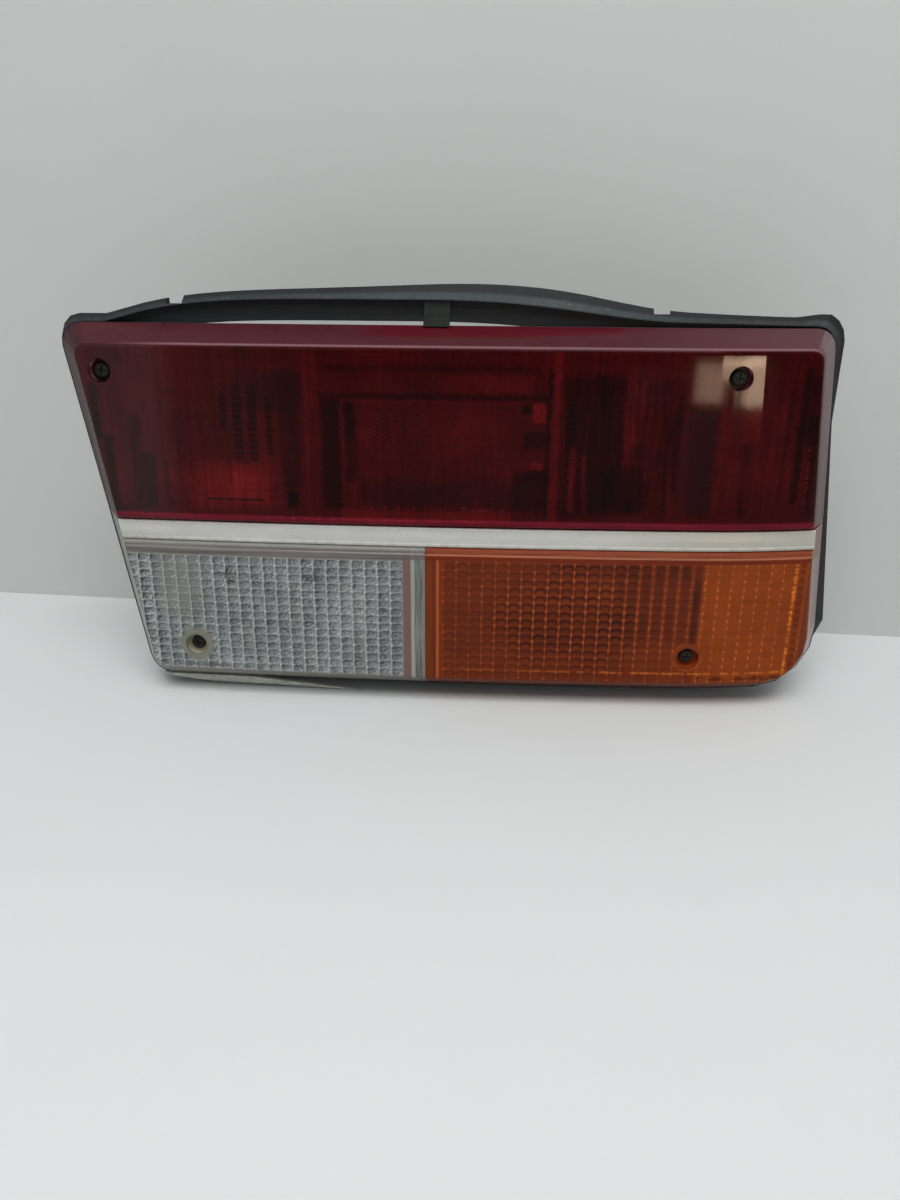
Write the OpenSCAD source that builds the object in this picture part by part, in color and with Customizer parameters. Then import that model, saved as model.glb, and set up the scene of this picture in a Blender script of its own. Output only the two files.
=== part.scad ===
// Tail light cluster for the right-hand side of a car, with a bonded three-colour lens.
// X points outboard, Y points into the car and Z points up.
// The origin is the centre of the four fixing studs, on the flat back of the housing.

/* [Face] */
// Width of the lens face along the top line of the trim strip
face_w = 378; // [350:1:410]
// Height of the face above the top line of the trim strip
face_up = 92; // [88:1:104]
// Height of the face below the top line of the trim strip
face_down = 89; // [86:1:104]
// Lean of the inboard edge from upright, in degrees
left_lean = 8.3; // [4:0.1:10]
// Lean of the outboard edge from upright, in degrees
right_lean = 5.2; // [2:0.1:7]
// Radius of the two upper corners of the face
upper_corner_r = 6; // [5:0.5:9]
// Radius of the lower inboard corner of the face
lower_in_r = 8; // [7:0.5:12]
// Radius of the lower outboard corner of the face
lower_out_r = 23; // [16:0.5:28]
// Radius of the face as seen from above
plan_r = 3600; // [2500:100:6000]
// Distance outboard of the centre at which the face starts to turn forwards round the car
turn_x = 124; // [100:1:140]
// Radius of that turn
turn_r = 370; // [300:10:600]

/* [Lenses] */
// Depth of the lenses from the face to their rim
lens_d = 18; // [16:0.5:24]
// Flare of the outer walls towards the car, in degrees
flare = 30; // [24:1:34]
// Extra spread of the wall at the upper inboard corner, as a share of the flare
spread_in = 0.33; // [0:0.01:0.4]
// Extra spread of the wall at the upper outboard corner, as a share of the flare
spread_out = 0.22; // [0:0.01:0.3]
// Extra spread of the wall at the lower outboard corner, as a share of the flare
spread_low = 0.1; // [0:0.01:0.2]
// Radius of the outer edge of the face
edge_r = 3; // [2:0.1:3.5]
// Thickness of the lens walls
lens_t = 2.6; // [2.2:0.1:3]
// Height of the red lens's rounded lower lip above the strip's top line
lip_r = 2.2; // [1.5:0.1:2.6]
// Height of the groove that holds the trim strip, at the face
groove_h = 15.5; // [14:0.5:18]
// Depth of that groove
groove_d = 3.8; // [3:0.1:4.4]
// Height of the sloping wall below the groove
groove_slope_h = 3.2; // [2.5:0.1:4]
// Distance from the inboard end of the strip's top line to the joint of the lower lenses
joint_x = 170; // [150:1:190]
// Gap between two lenses that are bonded together
bond_gap = 0.1; // [0.05:0.05:0.2]

/* [Prisms] */
// Width of one prism on the inside of the lower lenses
prism_w = 7.12; // [6.5:0.1:9]
// Rows of prisms on the lower lenses
prism_rows = 15; // [12:1:17]
// Rows of prisms on the red lens
red_rows = 10; // [8:1:12]
// Height of a prism above the inside of the lens
prism_h = 1.1; // [0.6:0.1:1.4]
// Plain border between the prisms and the bonded joint
joint_border = 10; // [8:0.5:13]
// Plain border between the prisms and the outer edges
edge_border = 10; // [9:0.5:14]

/* [Trim strip] */
// Height of the trim strip
strip_h = 12; // [10:0.5:13]
// Thickness of the trim strip
strip_t = 1.2; // [0.8:0.1:1.6]
// Length by which the strip stands past the lens wall at its outboard end
strip_over = 0.9; // [0:0.1:1.4]

/* [Housing] */
// Thickness of the foam seal between the lenses and the housing
seal_t = 1; // [0.6:0.1:2]
// Width of the foam seal
seal_w = 4.5; // [3.5:0.5:6]
// Length of the seal's torn end
tail_l = 120; // [60:1:130]
// Height of the torn end
tail_h = 4; // [2:0.1:6]
// Thickness of the torn end
tail_t = 2.4; // [1:0.1:4]
// Sag of the torn end's point
tail_sag = 2; // [0:0.1:4]
// Thickness of the housing's flange
flange_t = 3; // [2.5:0.1:4]
// Depth of the housing behind its flange, at the centre
tub_d = 45; // [42:1:55]
// Distance of the housing's tub inside the rim of the lenses
tub_in = 15; // [13.5:0.5:16]
// Wall thickness of the housing
tub_t = 2.5; // [2:0.1:3]
// Distance of the inboard chamber wall from the inboard end of the strip's top line
chamber_in_x = 108.8; // [100:1:120]
// Distance of the outboard chamber wall from the outboard end of the strip's top line
chamber_out_x = 140.5; // [130:1:150]
// Distance of the indicator's chamber wall from the outboard end of the strip's top line
indicator_wall_x = 58; // [50:1:62]
// Thickness of the chamber walls
chamber_t = 2; // [1.6:0.1:2.4]
// Gap between the chamber walls and the inside of the lenses
chamber_gap = 1.6; // [1.4:0.1:3]

/* [Lens screws] */
// Radius of the shank of a lens screw
screw_r = 2; // [1.75:0.05:2.25]
// Length of a lens screw under its head
screw_l = 24; // [20:1:30]
// Radius of the head
head_r = 4; // [3.5:0.1:4.5]
// Height of the head
head_h = 2.6; // [2.2:0.1:3]
// Radius of the recess in the lens round the head
recess_r = 6.2; // [5.4:0.1:6.6]
// Depth of that recess below the face
recess_d = 5.4; // [4.5:0.1:7]
// Wall of the lens round and under the recess
recess_t = 1.8; // [1.4:0.1:2.2]
// Clearance round a screw in the lens and in its post
screw_clear = 0.15; // [0.05:0.05:0.4]
// Radius of the housing's screw posts
post_r = 5; // [4.2:0.1:5.5]
// Height of the upper screws below the top of the face
upper_screw_in = 13; // [12:0.5:16]
// Height of the lower screws above the bottom of the face
lower_screw_in = 15.5; // [14.5:0.5:20]

/* [Reflex panel] */
// Width of the reflex panel
reflex_w = 105; // [80:1:108]
// Height of the reflex panel
reflex_h = 57; // [45:1:60]
// Thickness of the reflex panel
reflex_t = 4; // [3:0.1:6]
// Height of its lower edge above the strip's top line
reflex_z = 9.5; // [8:0.5:16]
// Gap between the reflex panel and the outboard chamber wall
reflex_gap = 2.8; // [2:0.1:6]

/* [Body gasket] */
// Thickness of the gasket's web
gasket_t = 4; // [3:0.5:5]
// Width of the web inside the rim of the lenses
web_in = 10.4; // [10:0.2:12.8]
// Width of the flap above the rim of the lenses
flap_w = 4.3; // [3:0.5:6]
// Extra width of the flap where the top has swollen
flap_grow = 4.9; // [2:0.1:6]
// Width of the flap along the inboard side
flap_side = 1.8; // [1:0.1:4]
// Width of the flap along the outboard side
flap_out = 3.1; // [1:0.1:4]
// Width of the flap at the upper outboard corner
flap_corner = 7; // [3:0.1:9]
// Width of the flap along the bottom
flap_low = 1.6; // [1:0.1:4]
// Height by which the loose top of the gasket has lifted
lift = 12.3; // [12:0.1:16]
// Width of the two notches in the flap
notch_w = 9; // [6:0.5:12]
// Depth of those notches
notch_d = 2.8; // [2:0.1:4]
// Place of the clip that holds the gasket at the top, from the middle of the face
clip_x = -14; // [-25:1:0]
// Width of the clip
clip_w = 13.6; // [10:0.2:18]

/* [Bulb carrier] */
// Distance of the opening in the back of the housing from the ends of the face
opening_in = 53; // [49:1:64]
// Height of the opening above the strip's top line
opening_up = 62; // [56:1:64]
// Height of the opening below the strip's top line
opening_down = 56; // [50:1:58]
// Overlap of the carrier's rim round that opening
carrier_lap = 5; // [4:0.5:6]
// Thickness of the carrier plate
carrier_t = 3; // [2:0.1:4]
// Clearance between the carrier plate and the opening
carrier_clear = 0.4; // [0.2:0.1:0.8]
// Radius of a bulb's brass cap
cap_r = 7.5; // [7:0.1:8]
// Length of a bulb's brass cap
cap_l = 19; // [16:0.5:21]
// Radius of a bulb's glass
glass_r = 12.5; // [10:0.5:13]
// Length of a bulb from its contact to the tip of its glass
bulb_l = 50; // [46:0.5:52]
// Clearance of a bulb's cap in its socket
cap_clear = 0.1; // [0.05:0.05:0.3]
// Wall of a bulb socket
socket_t = 1.8; // [1.5:0.1:2.5]
// Thickness of the brass contact strips
brass_t = 0.8; // [0.6:0.1:1.2]
// Width of the brass contact strips and their blades
brass_w = 6.3; // [4.8:0.1:7]
// Length of a blade behind the carrier
blade_l = 11; // [8:0.5:14]
// Distance of the fog bulb from the inboard end of the face
fog_bulb_in = 77; // [70:1:88]
// Distance of the stop and tail bulb from the outboard end of the face
stop_bulb_in = 94; // [86:1:108]
// Distance of the reversing bulb from the inboard end of the face
reversing_bulb_in = 94; // [86:1:108]
// Distance of the indicator bulb from the outboard end of the face
indicator_bulb_in = 123; // [116:1:130]

/* [Studs] */
// Distance of the fixing studs from the ends of the face
stud_in = 24; // [22:1:30]
// Distance between the fixing studs up the lamp
stud_dz = 120; // [110:1:126]
// Radius of a fixing stud
stud_r = 3; // [2.5:0.5:3.5]
// Extra radius of the stud's collar, which is moulded into the housing
stud_collar = 1.2; // [0.8:0.1:1.6]
// Length of a fixing stud behind the housing
stud_l = 20; // [14:1:30]
// Radius of the thumb screws' shanks
thumb_r = 2.5; // [2:0.25:3]

/* [Hidden] */
$fn = 48;
SCREWS = ["lens_screw_upper_inboard", "lens_screw_upper_outboard", "lens_screw_lower_inboard",
    "lens_screw_lower_outboard"];
BULBS = ["fog_bulb", "stop_tail_bulb", "reversing_bulb", "indicator_bulb"];
STUDS = ["stud_upper_inboard", "stud_upper_outboard", "stud_lower_inboard", "stud_lower_outboard"];
THUMBS = ["thumb_screw_inboard", "thumb_screw_outboard"];
CONTACTS = ["fog_contact", "reversing_contact", "stop_contact", "tail_contact", "indicator_contact"];

face_y = -(lens_d + seal_t + flange_t + tub_d);
rim_y = face_y + lens_d;
flange_y = rim_y + seal_t;
gasket_y = flange_y + flange_t;
opening_w = face_w - 2 * opening_in;
stud_dx = face_w - 2 * stud_in;
arc_n = 5;
joint_r = 0.6;
groove_corner_r = 1.2;

// Curve of the face seen from above, as a depth behind the middle of the face
function bow(x) = x * x / (2 * plan_r) + pow(max(0, x - turn_x), 2) / (2 * turn_r);

// Edges of the face, each a unit normal and a distance from the origin
NL = [-cos(left_lean), -sin(left_lean)];
NR = [cos(right_lean), sin(right_lean)];
UP = [0, 1];
DOWN = [0, -1];
HL = face_w / 2 * cos(left_lean);
HR = face_w / 2 * cos(right_lean);
left_x = -face_w / 2;
right_x = face_w / 2;
split_x = left_x + joint_x;
function edge_left(z) = left_x - z * tan(left_lean);
function edge_right(z) = right_x - z * tan(right_lean);

// Offset of a rounded edge at depth d, for an edge of radius r and a wall that flares by a degrees
function edge(d, r, a) = let(s0 = -r * tan((90 - a) / 2), turn = r * (1 - sin(a)))
    d < turn ? s0 + sqrt(max(0, 2 * r * d - d * d)) : s0 + r * cos(a) + (d - turn) * tan(a);
function wall_s(d) = edge(d, edge_r, flare);
rim_s = wall_s(lens_d);

// Spread of the side walls at height z
function high(z) = (z + face_down) / (face_up + face_down);
function k_in(z) = 1 + spread_in * high(z);
function k_out(z) = 1 + spread_low + (spread_out - spread_low) * high(z);

// The two vectors that move one of two edges and leave the other where it is
function first_of(n1, n2) = [n2[1], -n2[0]] / (n1[0] * n2[1] - n1[1] * n2[0]);
function second_of(n1, n2) = [-n1[1], n1[0]] / (n1[0] * n2[1] - n1[1] * n2[0]);
// An edge point holds its centre, normal and radius, its shifts per unit of side, groove and inset,
// and how the radius grows with the side and with the inset
function place(e, s, t, i) = e[0] + s * e[3] + t * e[4] - i * e[5] + (e[2] + e[6] * s - e[7] * i) * e[1];
// A corner from edge 1 to edge 2. Each has a share in the side offset (k) and in the groove offset (q)
function corner(n1, h1, k1, q1, n2, h2, k2, q2, r, grow) =
    let(a = first_of(n1, n2), b = second_of(n1, n2), c = a * (h1 - r) + b * (h2 - r),
        a1 = atan2(n1[1], n1[0]), turn = atan2(n1[0] * n2[1] - n1[1] * n2[0], n1 * n2))
    [for (j = [0:arc_n - 1]) let(an = a1 + turn * j / (arc_n - 1))
        [c, [cos(an), sin(an)], r, a * (k1 - grow) + b * (k2 - grow), a * q1 + b * q2,
            (a + b) * (1 - grow), grow, grow]];
function straight(xs, z, n, k, q) = [for (x = xs) [[x, z], [0, 0], 0, n * k, n * q, n, 0, 0]];
function reversed(v) = [for (j = [len(v) - 1:-1:0]) v[j]];
function steps(a, b, n) = [for (j = [1:n - 1]) a + (b - a) * j / n];

// Corners of the whole outline
corner_grow = 0.5;
CTL = corner(NL, HL, k_in(face_up), 0, UP, face_up, 1, 0, upper_corner_r, corner_grow);
CTR = reversed(corner(NR, HR, k_out(face_up), 0, UP, face_up, 1, 0, upper_corner_r, corner_grow));
CBL = corner(NL, HL, k_in(-face_down), 0, DOWN, face_down, 1, 0, lower_in_r, corner_grow);
CBR = reversed(corner(NR, HR, k_out(-face_down), 0, DOWN, face_down, 1, 0, lower_out_r, 1));

// Outline of the lamp at side offset s, as a polygon
function outline(s, i = 0) = [for (e = concat(CTL, CTR, reversed(CBR), reversed(CBL))) place(e, s, 0, i)];

// A closed lens: chains run from inboard to outboard, rings from the face to the rim and back to the inside
module lens_body(upper, lower, outer, inner, rows, first, last) {
    m = len(upper);
    loop = concat(upper, reversed(lower));
    n = len(loop);
    rings = concat(outer, inner);
    k = len(rings);
    ring_points = [for (g = rings) for (e = loop) let(p = place(e, g[0], g[1], g[2]))
        [p[0], face_y + g[3] + bow(p[0]), p[1]]];
    inside = (k - 1) * n;
    // Inside grid: row r of column j, whose ends are the points of the last ring
    grid_points = [for (j = [1:m - 2]) for (r = [1:rows - 1])
        let(p = ring_points[inside + n - 1 - j], q = ring_points[inside + j], u = r / rows)
        let(x = p[0] + (q[0] - p[0]) * u)
        [x, face_y + inner[len(inner) - 1][3] + bow(x), p[2] + (q[2] - p[2]) * u]];
    function grid(j, r) = r == 0 ? inside + n - 1 - j
        : r == rows ? inside + j : k * n + (j - 1) * (rows - 1) + r - 1;
    all = concat(ring_points, grid_points);
    peaks = [for (j = [first:last - 1]) for (r = [0:rows - 1])
        (all[grid(j, r)] + all[grid(j + 1, r)] + all[grid(j, r + 1)] + all[grid(j + 1, r + 1)]) / 4
            + [0, prism_h, 0]];
    function peak(j, r) = len(all) + (j - first) * rows + r;
    outer_cap = [for (j = [0:m - 2]) each [[j, j + 1, n - 2 - j], [j, n - 2 - j, n - 1 - j]]];
    sides = [for (g = [0:k - 2]) for (j = [0:n - 1]) let(a = g * n + j, b = g * n + (j + 1) % n)
        each [[a, a + n, b], [b, a + n, b + n]]];
    cells = [for (j = [1:m - 3]) for (r = [0:rows - 1])
        let(a = grid(j, r), b = grid(j + 1, r), c = grid(j + 1, r + 1), d = grid(j, r + 1), t = peak(j, r))
        each (j >= first && j < last ? [[a, t, d], [b, t, a], [c, t, b], [d, t, c]]
            : [[a, b, d], [b, c, d]])];
    half = floor(rows / 2);
    z = m - 1;
    function end_corner(j, r) = r < half ? grid(j, 0) : grid(j, rows);
    ends = concat(
        [for (r = [0:rows - 1]) [end_corner(0, r), grid(1, r), grid(1, r + 1)]],
        [for (r = [0:rows - 1]) [end_corner(z, r), grid(z - 1, r + 1), grid(z - 1, r)]],
        [[grid(0, 0), grid(1, half), grid(0, rows)], [grid(z, 0), grid(z, rows), grid(z - 1, half)]]);
    polyhedron(concat(all, peaks), concat(outer_cap, sides, cells, ends));
}

// Stations past fan_x moved outboard, so that the last of them comes to x1
fan_x = right_x - 49;
function fanned(xs, x1) = let(k = (x1 - fan_x) / (xs[len(xs) - 1] - fan_x))
    [for (x = xs) x < fan_x ? x : fan_x + (x - fan_x) * k];

// Depths at which the outer rings of a lens lie
edge_depths = [0, 0.06, 0.25, 0.6, 1] * edge_r * (1 - sin(flare));

// Places of the screws, in the order of SCREWS
upper_z = face_up - upper_screw_in;
lower_z = -face_down + lower_screw_in;
upper_in_inset = 11;
upper_out_inset = 41.9;
lower_in_inset = 27.1;
lower_out_inset = 68;
screw_at = [[edge_left(upper_z) + upper_in_inset, upper_z],
    [edge_right(upper_z) - upper_out_inset, upper_z],
    [edge_left(lower_z) + lower_in_inset, lower_z],
    [edge_right(lower_z) - lower_out_inset, lower_z]];
function seat_y(p) = face_y + bow(p[0]) + recess_d;

// A cylinder along Y from y0 to y1
module rod(x, z, y0, y1, r) {
    translate([x, y0, z]) rotate([-90, 0, 0]) cylinder(r = r, h = y1 - y0);
}

// A plate along Y from y0 to y1 with the outline drawn in X and Z
module plate(y0, y1) {
    translate([0, y1, 0]) rotate([90, 0, 0]) linear_extrude(y1 - y0) children();
}

// A slab between two depths that follows the face's curve
module curved_slab(y0, y1, z0, z1) {
    end = face_w / 2 + 55;
    bend = turn_x - 24;
    xs = concat([for (j = [0:8]) -end + (bend + end) * j / 9],
        [for (j = [0:12]) bend + (end - bend) * j / 12]);
    translate([0, 0, z0]) linear_extrude(z1 - z0) polygon(concat([for (x = xs) [x, y0 + bow(x)]],
        [for (x = reversed(xs)) [x, y1 + bow(x)]]));
}

// A lens with its screw recesses
module lens_with_recesses(places) {
    difference() {
        union() {
            children();
            for (p = places)
                rod(p[0], p[1], seat_y(p) - recess_d + lens_t / 2, seat_y(p) + recess_t,
                    recess_r + recess_t);
        }
        for (p = places) {
            rod(p[0], p[1], face_y - 1, seat_y(p), recess_r);
            rod(p[0], p[1], face_y - 1, seat_y(p) + recess_t + 1, screw_r + screw_clear);
        }
    }
}

lip_z = 0.3;
lip_draft = 4.5;
divider_z = -1.2;
red_rim_drop = lip_z - divider_z - bond_gap;

module red_lens() {
    lip = corner(NL, HL, k_in(0), 0, DOWN, -lip_z, 0, 1, groove_corner_r, 0);
    lip_out = reversed(corner(NR, HR, k_out(0), 0, DOWN, -lip_z, 0, 1, groove_corner_r, 0));
    in_x = left_x + chamber_in_x;
    out_x = right_x - chamber_out_x;
    side = 3;
    a = left_x + edge_border / 2;
    b = right_x - edge_border - side - 1;
    n1 = floor((in_x - side - a) / prism_w);
    n2 = floor((b - out_x - side) / prism_w);
    xs = concat([for (j = [0:n1]) in_x - side - (n1 - j) * prism_w], [in_x + side],
        steps(in_x + side, out_x - side, 4), [out_x - side], [for (j = [0:n2]) out_x + side + j * prism_w]);
    upper = concat(CTL, straight(xs, face_up, UP, 1, 0), CTR);
    lower = concat(lip, straight(fanned(xs, right_x - 4), lip_z, DOWN, 0, 1), lip_out);
    depths = concat(edge_depths, [lip_r, lens_d]);
    outer = [for (d = depths) [wall_s(d), edge(d, lip_r, lip_draft), 0, d]];
    inner = [for (d = [lens_d, lens_t]) [wall_s(d), edge(d, lip_r, lip_draft), lens_t, d]];
    color([0.45, 0.03, 0.05, 0.8]) lens_with_recesses([screw_at[0], screw_at[1]])
        lens_body(upper, lower, outer, inner, red_rows, arc_n, arc_n + len(xs) - 1);
}

// The groove's side of a lower lens: slope, floor and the wall behind the red lens
function groove_t(d) = edge(d, 1, atan(groove_slope_h / groove_d));
ledge_t = groove_h + divider_z - bond_gap;
ledge_lean = 0.4;
lower_outer = concat([for (d = edge_depths) [wall_s(d), groove_t(d), 0, d]],
    [[wall_s(groove_d), groove_slope_h, 0, groove_d],
     [wall_s(groove_d + ledge_lean), ledge_t, 0, groove_d + ledge_lean],
     [wall_s(lens_d), ledge_t, 0, lens_d]]);
lower_inner = [[wall_s(lens_d), ledge_t, lens_t, lens_d],
    [wall_s(groove_d + ledge_lean + lens_t), ledge_t, lens_t, groove_d + ledge_lean + lens_t],
    [wall_s(groove_d + lens_t), groove_slope_h, lens_t, groove_d + lens_t],
    [wall_s(lens_t), 0, lens_t, lens_t]];

module clear_lens() {
    x1 = split_x - bond_gap / 2;
    top = corner(NL, HL, k_in(-groove_h), 0, UP, -groove_h, 0, 1, groove_corner_r, 0);
    top_out = reversed(corner([1, 0], x1, 0, 0, UP, -groove_h, 0, 1, joint_r, 0));
    low_out = reversed(corner([1, 0], x1, 0, 0, DOWN, face_down, 1, 0, joint_r, 0));
    n = floor((x1 - joint_border - 2 - edge_left(-face_down) - edge_border) / prism_w);
    xs = [for (j = [0:n]) x1 - joint_border - 2 - (n - j) * prism_w];
    lens_upper = concat(top, straight(xs, -groove_h, UP, 0, 1), top_out);
    lens_lower = concat(CBL, straight(xs, -face_down, DOWN, 1, 0), low_out);
    color([0.85, 0.87, 0.88, 0.6]) lens_with_recesses([screw_at[2]])
        lens_body(lens_upper, lens_lower, lower_outer, lower_inner, prism_rows, arc_n, arc_n + n);
}

module amber_lens() {
    x0 = split_x + bond_gap / 2;
    top_in = corner([-1, 0], -x0, 0, 0, UP, -groove_h, 0, 1, joint_r, 0);
    low_in = corner([-1, 0], -x0, 0, 0, DOWN, face_down, 1, 0, joint_r, 0);
    top = reversed(corner(NR, HR, k_out(-groove_h), 0, UP, -groove_h, 0, 1, groove_corner_r, 0));
    n = floor((edge_right(-groove_h) - edge_border - x0 - joint_border + 2) / prism_w);
    xs = [for (j = [0:n]) x0 + joint_border - 1 + j * prism_w];
    // Under the large corner the lower ends of the columns close up towards its start
    low_end = CBR[0][0][0] - 1;
    close_x = low_end - 24;
    xl = [for (x = xs) x < close_x ? x : close_x + (low_end - close_x) * (x - close_x) / (xs[n] - close_x)];
    lens_upper = concat(top_in, straight(fanned(xs, right_x - 3), -groove_h, UP, 0, 1), top);
    lens_lower = concat(low_in, straight(xl, -face_down, DOWN, 1, 0), CBR);
    color([0.95, 0.45, 0.05, 0.8]) lens_with_recesses([screw_at[3]])
        lens_body(lens_upper, lens_lower, lower_outer, lower_inner, prism_rows, arc_n, arc_n + n);
}

// Bright strip that lies in the groove and ends flush with the outer walls
module trim_strip() {
    z1 = divider_z;
    z0 = -groove_h + groove_slope_h + 0.3;
    mid = (z0 + z1) / 2;
    h = min(strip_h, z1 - z0) / 2;
    y1 = face_y + groove_d - 0.05;
    y0 = y1 - strip_t;
    s = wall_s(groove_d - strip_t);
    // Section of the strip: a flat back and a crowned front with eased edges
    section = [[y1, -h], [y0 + 0.4, -h], [y0 + 0.1, -h + 0.5], [y0 - 0.1, 0], [y0 + 0.1, h - 0.5],
        [y0 + 0.4, h], [y1, h]];
    n = 34;
    m = len(section);
    points = [for (j = [0:n]) for (p = section) let(z = mid + p[1])
        let(a = edge_left(z) - s, b = edge_right(z) + s + strip_over, x = a + (b - a) * j / n)
        [x, p[0] + bow(x), z]];
    sides = [for (j = [0:n - 1]) for (i = [0:m - 1]) let(p = j * m + i, q = j * m + (i + 1) % m)
        each [[p, q, p + m], [q, q + m, p + m]]];
    last = n * m;
    caps = concat([for (i = [1:m - 2]) [0, i + 1, i]],
        [for (i = [1:m - 2]) [last, last + i, last + i + 1]]);
    color([0.8, 0.81, 0.82]) polyhedron(points, concat(sides, caps));
}

// Reflex panel: a moulded plate with a rim, held by the outboard chamber wall and a foot inboard
reflex_x1 = right_x - chamber_out_x - chamber_t / 2 - reflex_gap;
reflex_y = face_y + lens_t + prism_h + chamber_gap;
module reflex_panel() {
    x0 = reflex_x1 - reflex_w;
    rim = 4;
    tray_d = 1.4;
    tray_h = reflex_h - 2 * rim;
    foot_w = 4;
    y1 = reflex_y + reflex_t;
    color([0.5, 0.02, 0.04]) union() {
        difference() {
            translate([x0, reflex_y, reflex_z]) cube([reflex_w, reflex_t, reflex_h]);
            translate([x0 + rim, y1 - tray_d, reflex_z + rim]) cube([reflex_w - 2 * rim, 2, tray_h]);
        }
        // Prismatic ribs in the tray at its back
        for (x = [x0 + rim + 3:6:x0 + reflex_w - rim - 3])
            translate([x, y1 - tray_d, reflex_z + rim])
                linear_extrude(tray_h) polygon([[-1.5, 0], [1.5, 0], [0, tray_d - 0.2]]);
        // Feet that reach back and stand on the housing's shelf
        for (x = [x0 + 2 * foot_w, reflex_x1 - 3 * foot_w]) {
            translate([x, y1 - 0.5, reflex_z]) cube([foot_w, flange_y + 2 * foot_w - y1 + 0.5, foot_w - 1]);
            translate([x, flange_y + foot_w - 1, divider_z + chamber_t / 2])
                cube([foot_w, foot_w + 1, reflex_z - divider_z + chamber_t / 2]);
        }
    }
}

// Foam seal between the lens rims and the housing, with a torn end that hangs out at the lower
// inboard corner
module lens_seal() {
    color([0.72, 0.71, 0.66]) union() {
        intersection() {
            plate(rim_y - 10, rim_y + 40) difference() {
                polygon(outline(rim_s, 0.2));
                difference() {
                    polygon(outline(rim_s, seal_w));
                    translate([-face_w, divider_z - seal_w / 2]) square([2 * face_w, seal_w]);
                }
            }
            curved_slab(rim_y + fit_gap, flange_y - fit_gap, -200, 200);
        }
        // Torn end: a thin blade that leaves the corner, sags and runs out to a point
        intersection() {
            plate(rim_y - 10, rim_y + 40)
                polygon(concat([for (u = [0:0.1:1]) tail_low(u)], [tail_high(0.45), tail_high(0)]));
            curved_slab(rim_y - tail_t, rim_y + 0.5, -200, 0);
        }
        intersection() {
            plate(rim_y - 10, rim_y + 40) translate([tail_x + 2, -face_down - rim_s - 0.6]) square([30, 3]);
            curved_slab(rim_y + fit_gap, rim_y + 0.5, -200, 0);
        }
    }
}
fit_gap = 0.1;
tail_x = edge_left(-face_down) - rim_s + 8;
// Lower and upper edge of the torn end, u along it from the corner to its point
function tail_low(u) = [tail_x + tail_l * u,
    -face_down - rim_s - tail_h * (0.15 + 0.85 * sin(min(1, 4 * u) * 90)) - tail_sag * u * u];
function tail_high(u) = [tail_x + tail_l * u, -face_down - rim_s - fit_gap * 2];

// Lift of the loose top of the gasket at x: steep inboard, a longer slope outboard
function ease(u) = let(v = min(1, max(0, u))) v * v * (3 - 2 * v);
lift_top_x = -35;
lift_in_w = 155;
lift_out_w = 151;
lift_base = 2.1;
lift_end = 0.8;
function lift_at(x) = x < lift_top_x ? lift * max(0, 1 - pow((lift_top_x - x) / lift_in_w, 4.5))
    : lift_base + (lift - lift_base) * (1 - pow(ease((x - lift_top_x) / lift_out_w), 1.8))
        - (lift_base - lift_end) * ease((x - 110) / 80);

// Width of the flap at the top, with a swell outboard of the middle and a bump near the corner
swell_x = 42;
bump_x = edge_right(face_up) + 3;
function flap_at(x) = flap_w + flap_grow * exp(-pow((x - swell_x) / (x < swell_x ? 105 : 58), 2))
    + 1.8 * exp(-pow((x - bump_x) / 5, 2));
// Width of the flap round an edge point
function flap(e, c) = c[1] > face_up && abs(e[1][1]) > 0.95 || (e[2] == 0 && e[3][1] > 0.5) ? flap_at(c[0])
    : e[1][1] > 0 ? (c[0] < 0 ? flap_side + (flap_w - flap_side) * e[1][1] : flap_corner)
    : c[1] < -face_down / 2 ? flap_low : c[0] < 0 ? flap_side : flap_out;

// Soft rubber gasket: a web behind the flange and a flap round its edge
module body_gasket() {
    tops = concat([for (x = [edge_left(face_up) + 10:11:edge_right(face_up) - 28]) x],
        [for (x = [edge_right(face_up) - 20:4:edge_right(face_up) - 8]) x]);
    top = straight(tops, face_up, UP, 1, 0);
    bottoms = reversed([for (x = [edge_left(-face_down) + 14:24:edge_right(-face_down) - 26]) x]);
    bottom = straight(bottoms, -face_down, DOWN, 1, 0);
    side_z = face_up - 40;
    side = [[[edge_right(side_z), side_z], [0, 0], 0, NR * k_out(side_z), [0, 0], NR, 0, 0]];
    loop = concat(CTL, top, CTR, side, reversed(CBR), bottom, reversed(CBL));
    n = len(loop);
    bead = -web_in + 1.6;
    points = [for (e = loop) let(c = place(e, rim_s, 0, 0), w = flap(e, c), base = gasket_y + fit_gap,
        share = e[2] == 0 ? (c[1] > face_up ? 1 : 0) : max(0, e[1][1]), rise = share * lift_at(c[0]))
        for (p = [[-web_in, 0], [-web_in, gasket_t + 1], [bead, gasket_t + 1], [bead, gasket_t],
            [w, gasket_t], [w, gasket_t - 2.4], [0.9, -3.4], [0.3, -3.4], [0.3, 0.6], [bead, 0.6], [bead, 0]])
        let(q = place(e, rim_s, 0, -p[0])) [q[0], base + bow(q[0]) + p[1], q[1] + rise]];
    m = 11;
    faces = [for (j = [0:n - 1]) for (i = [0:m - 1])
        let(i2 = (i + 1) % m, next = ((j + 1) % n) * m, a = j * m + i, b = j * m + i2, c = next + i)
        each [[a, c, b], [b, c, next + i2]]];
    color([0.13, 0.14, 0.15]) difference() {
        polyhedron(points, faces);
        for (x = notch_at)
            translate([x, gasket_y - 10, face_up + rim_s + flap_at(x) + lift_at(x) - notch_d])
                cube([notch_w, 30, 10]);
    }
}
notch_at = [left_x + 31.7, right_x - 91.8];

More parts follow.
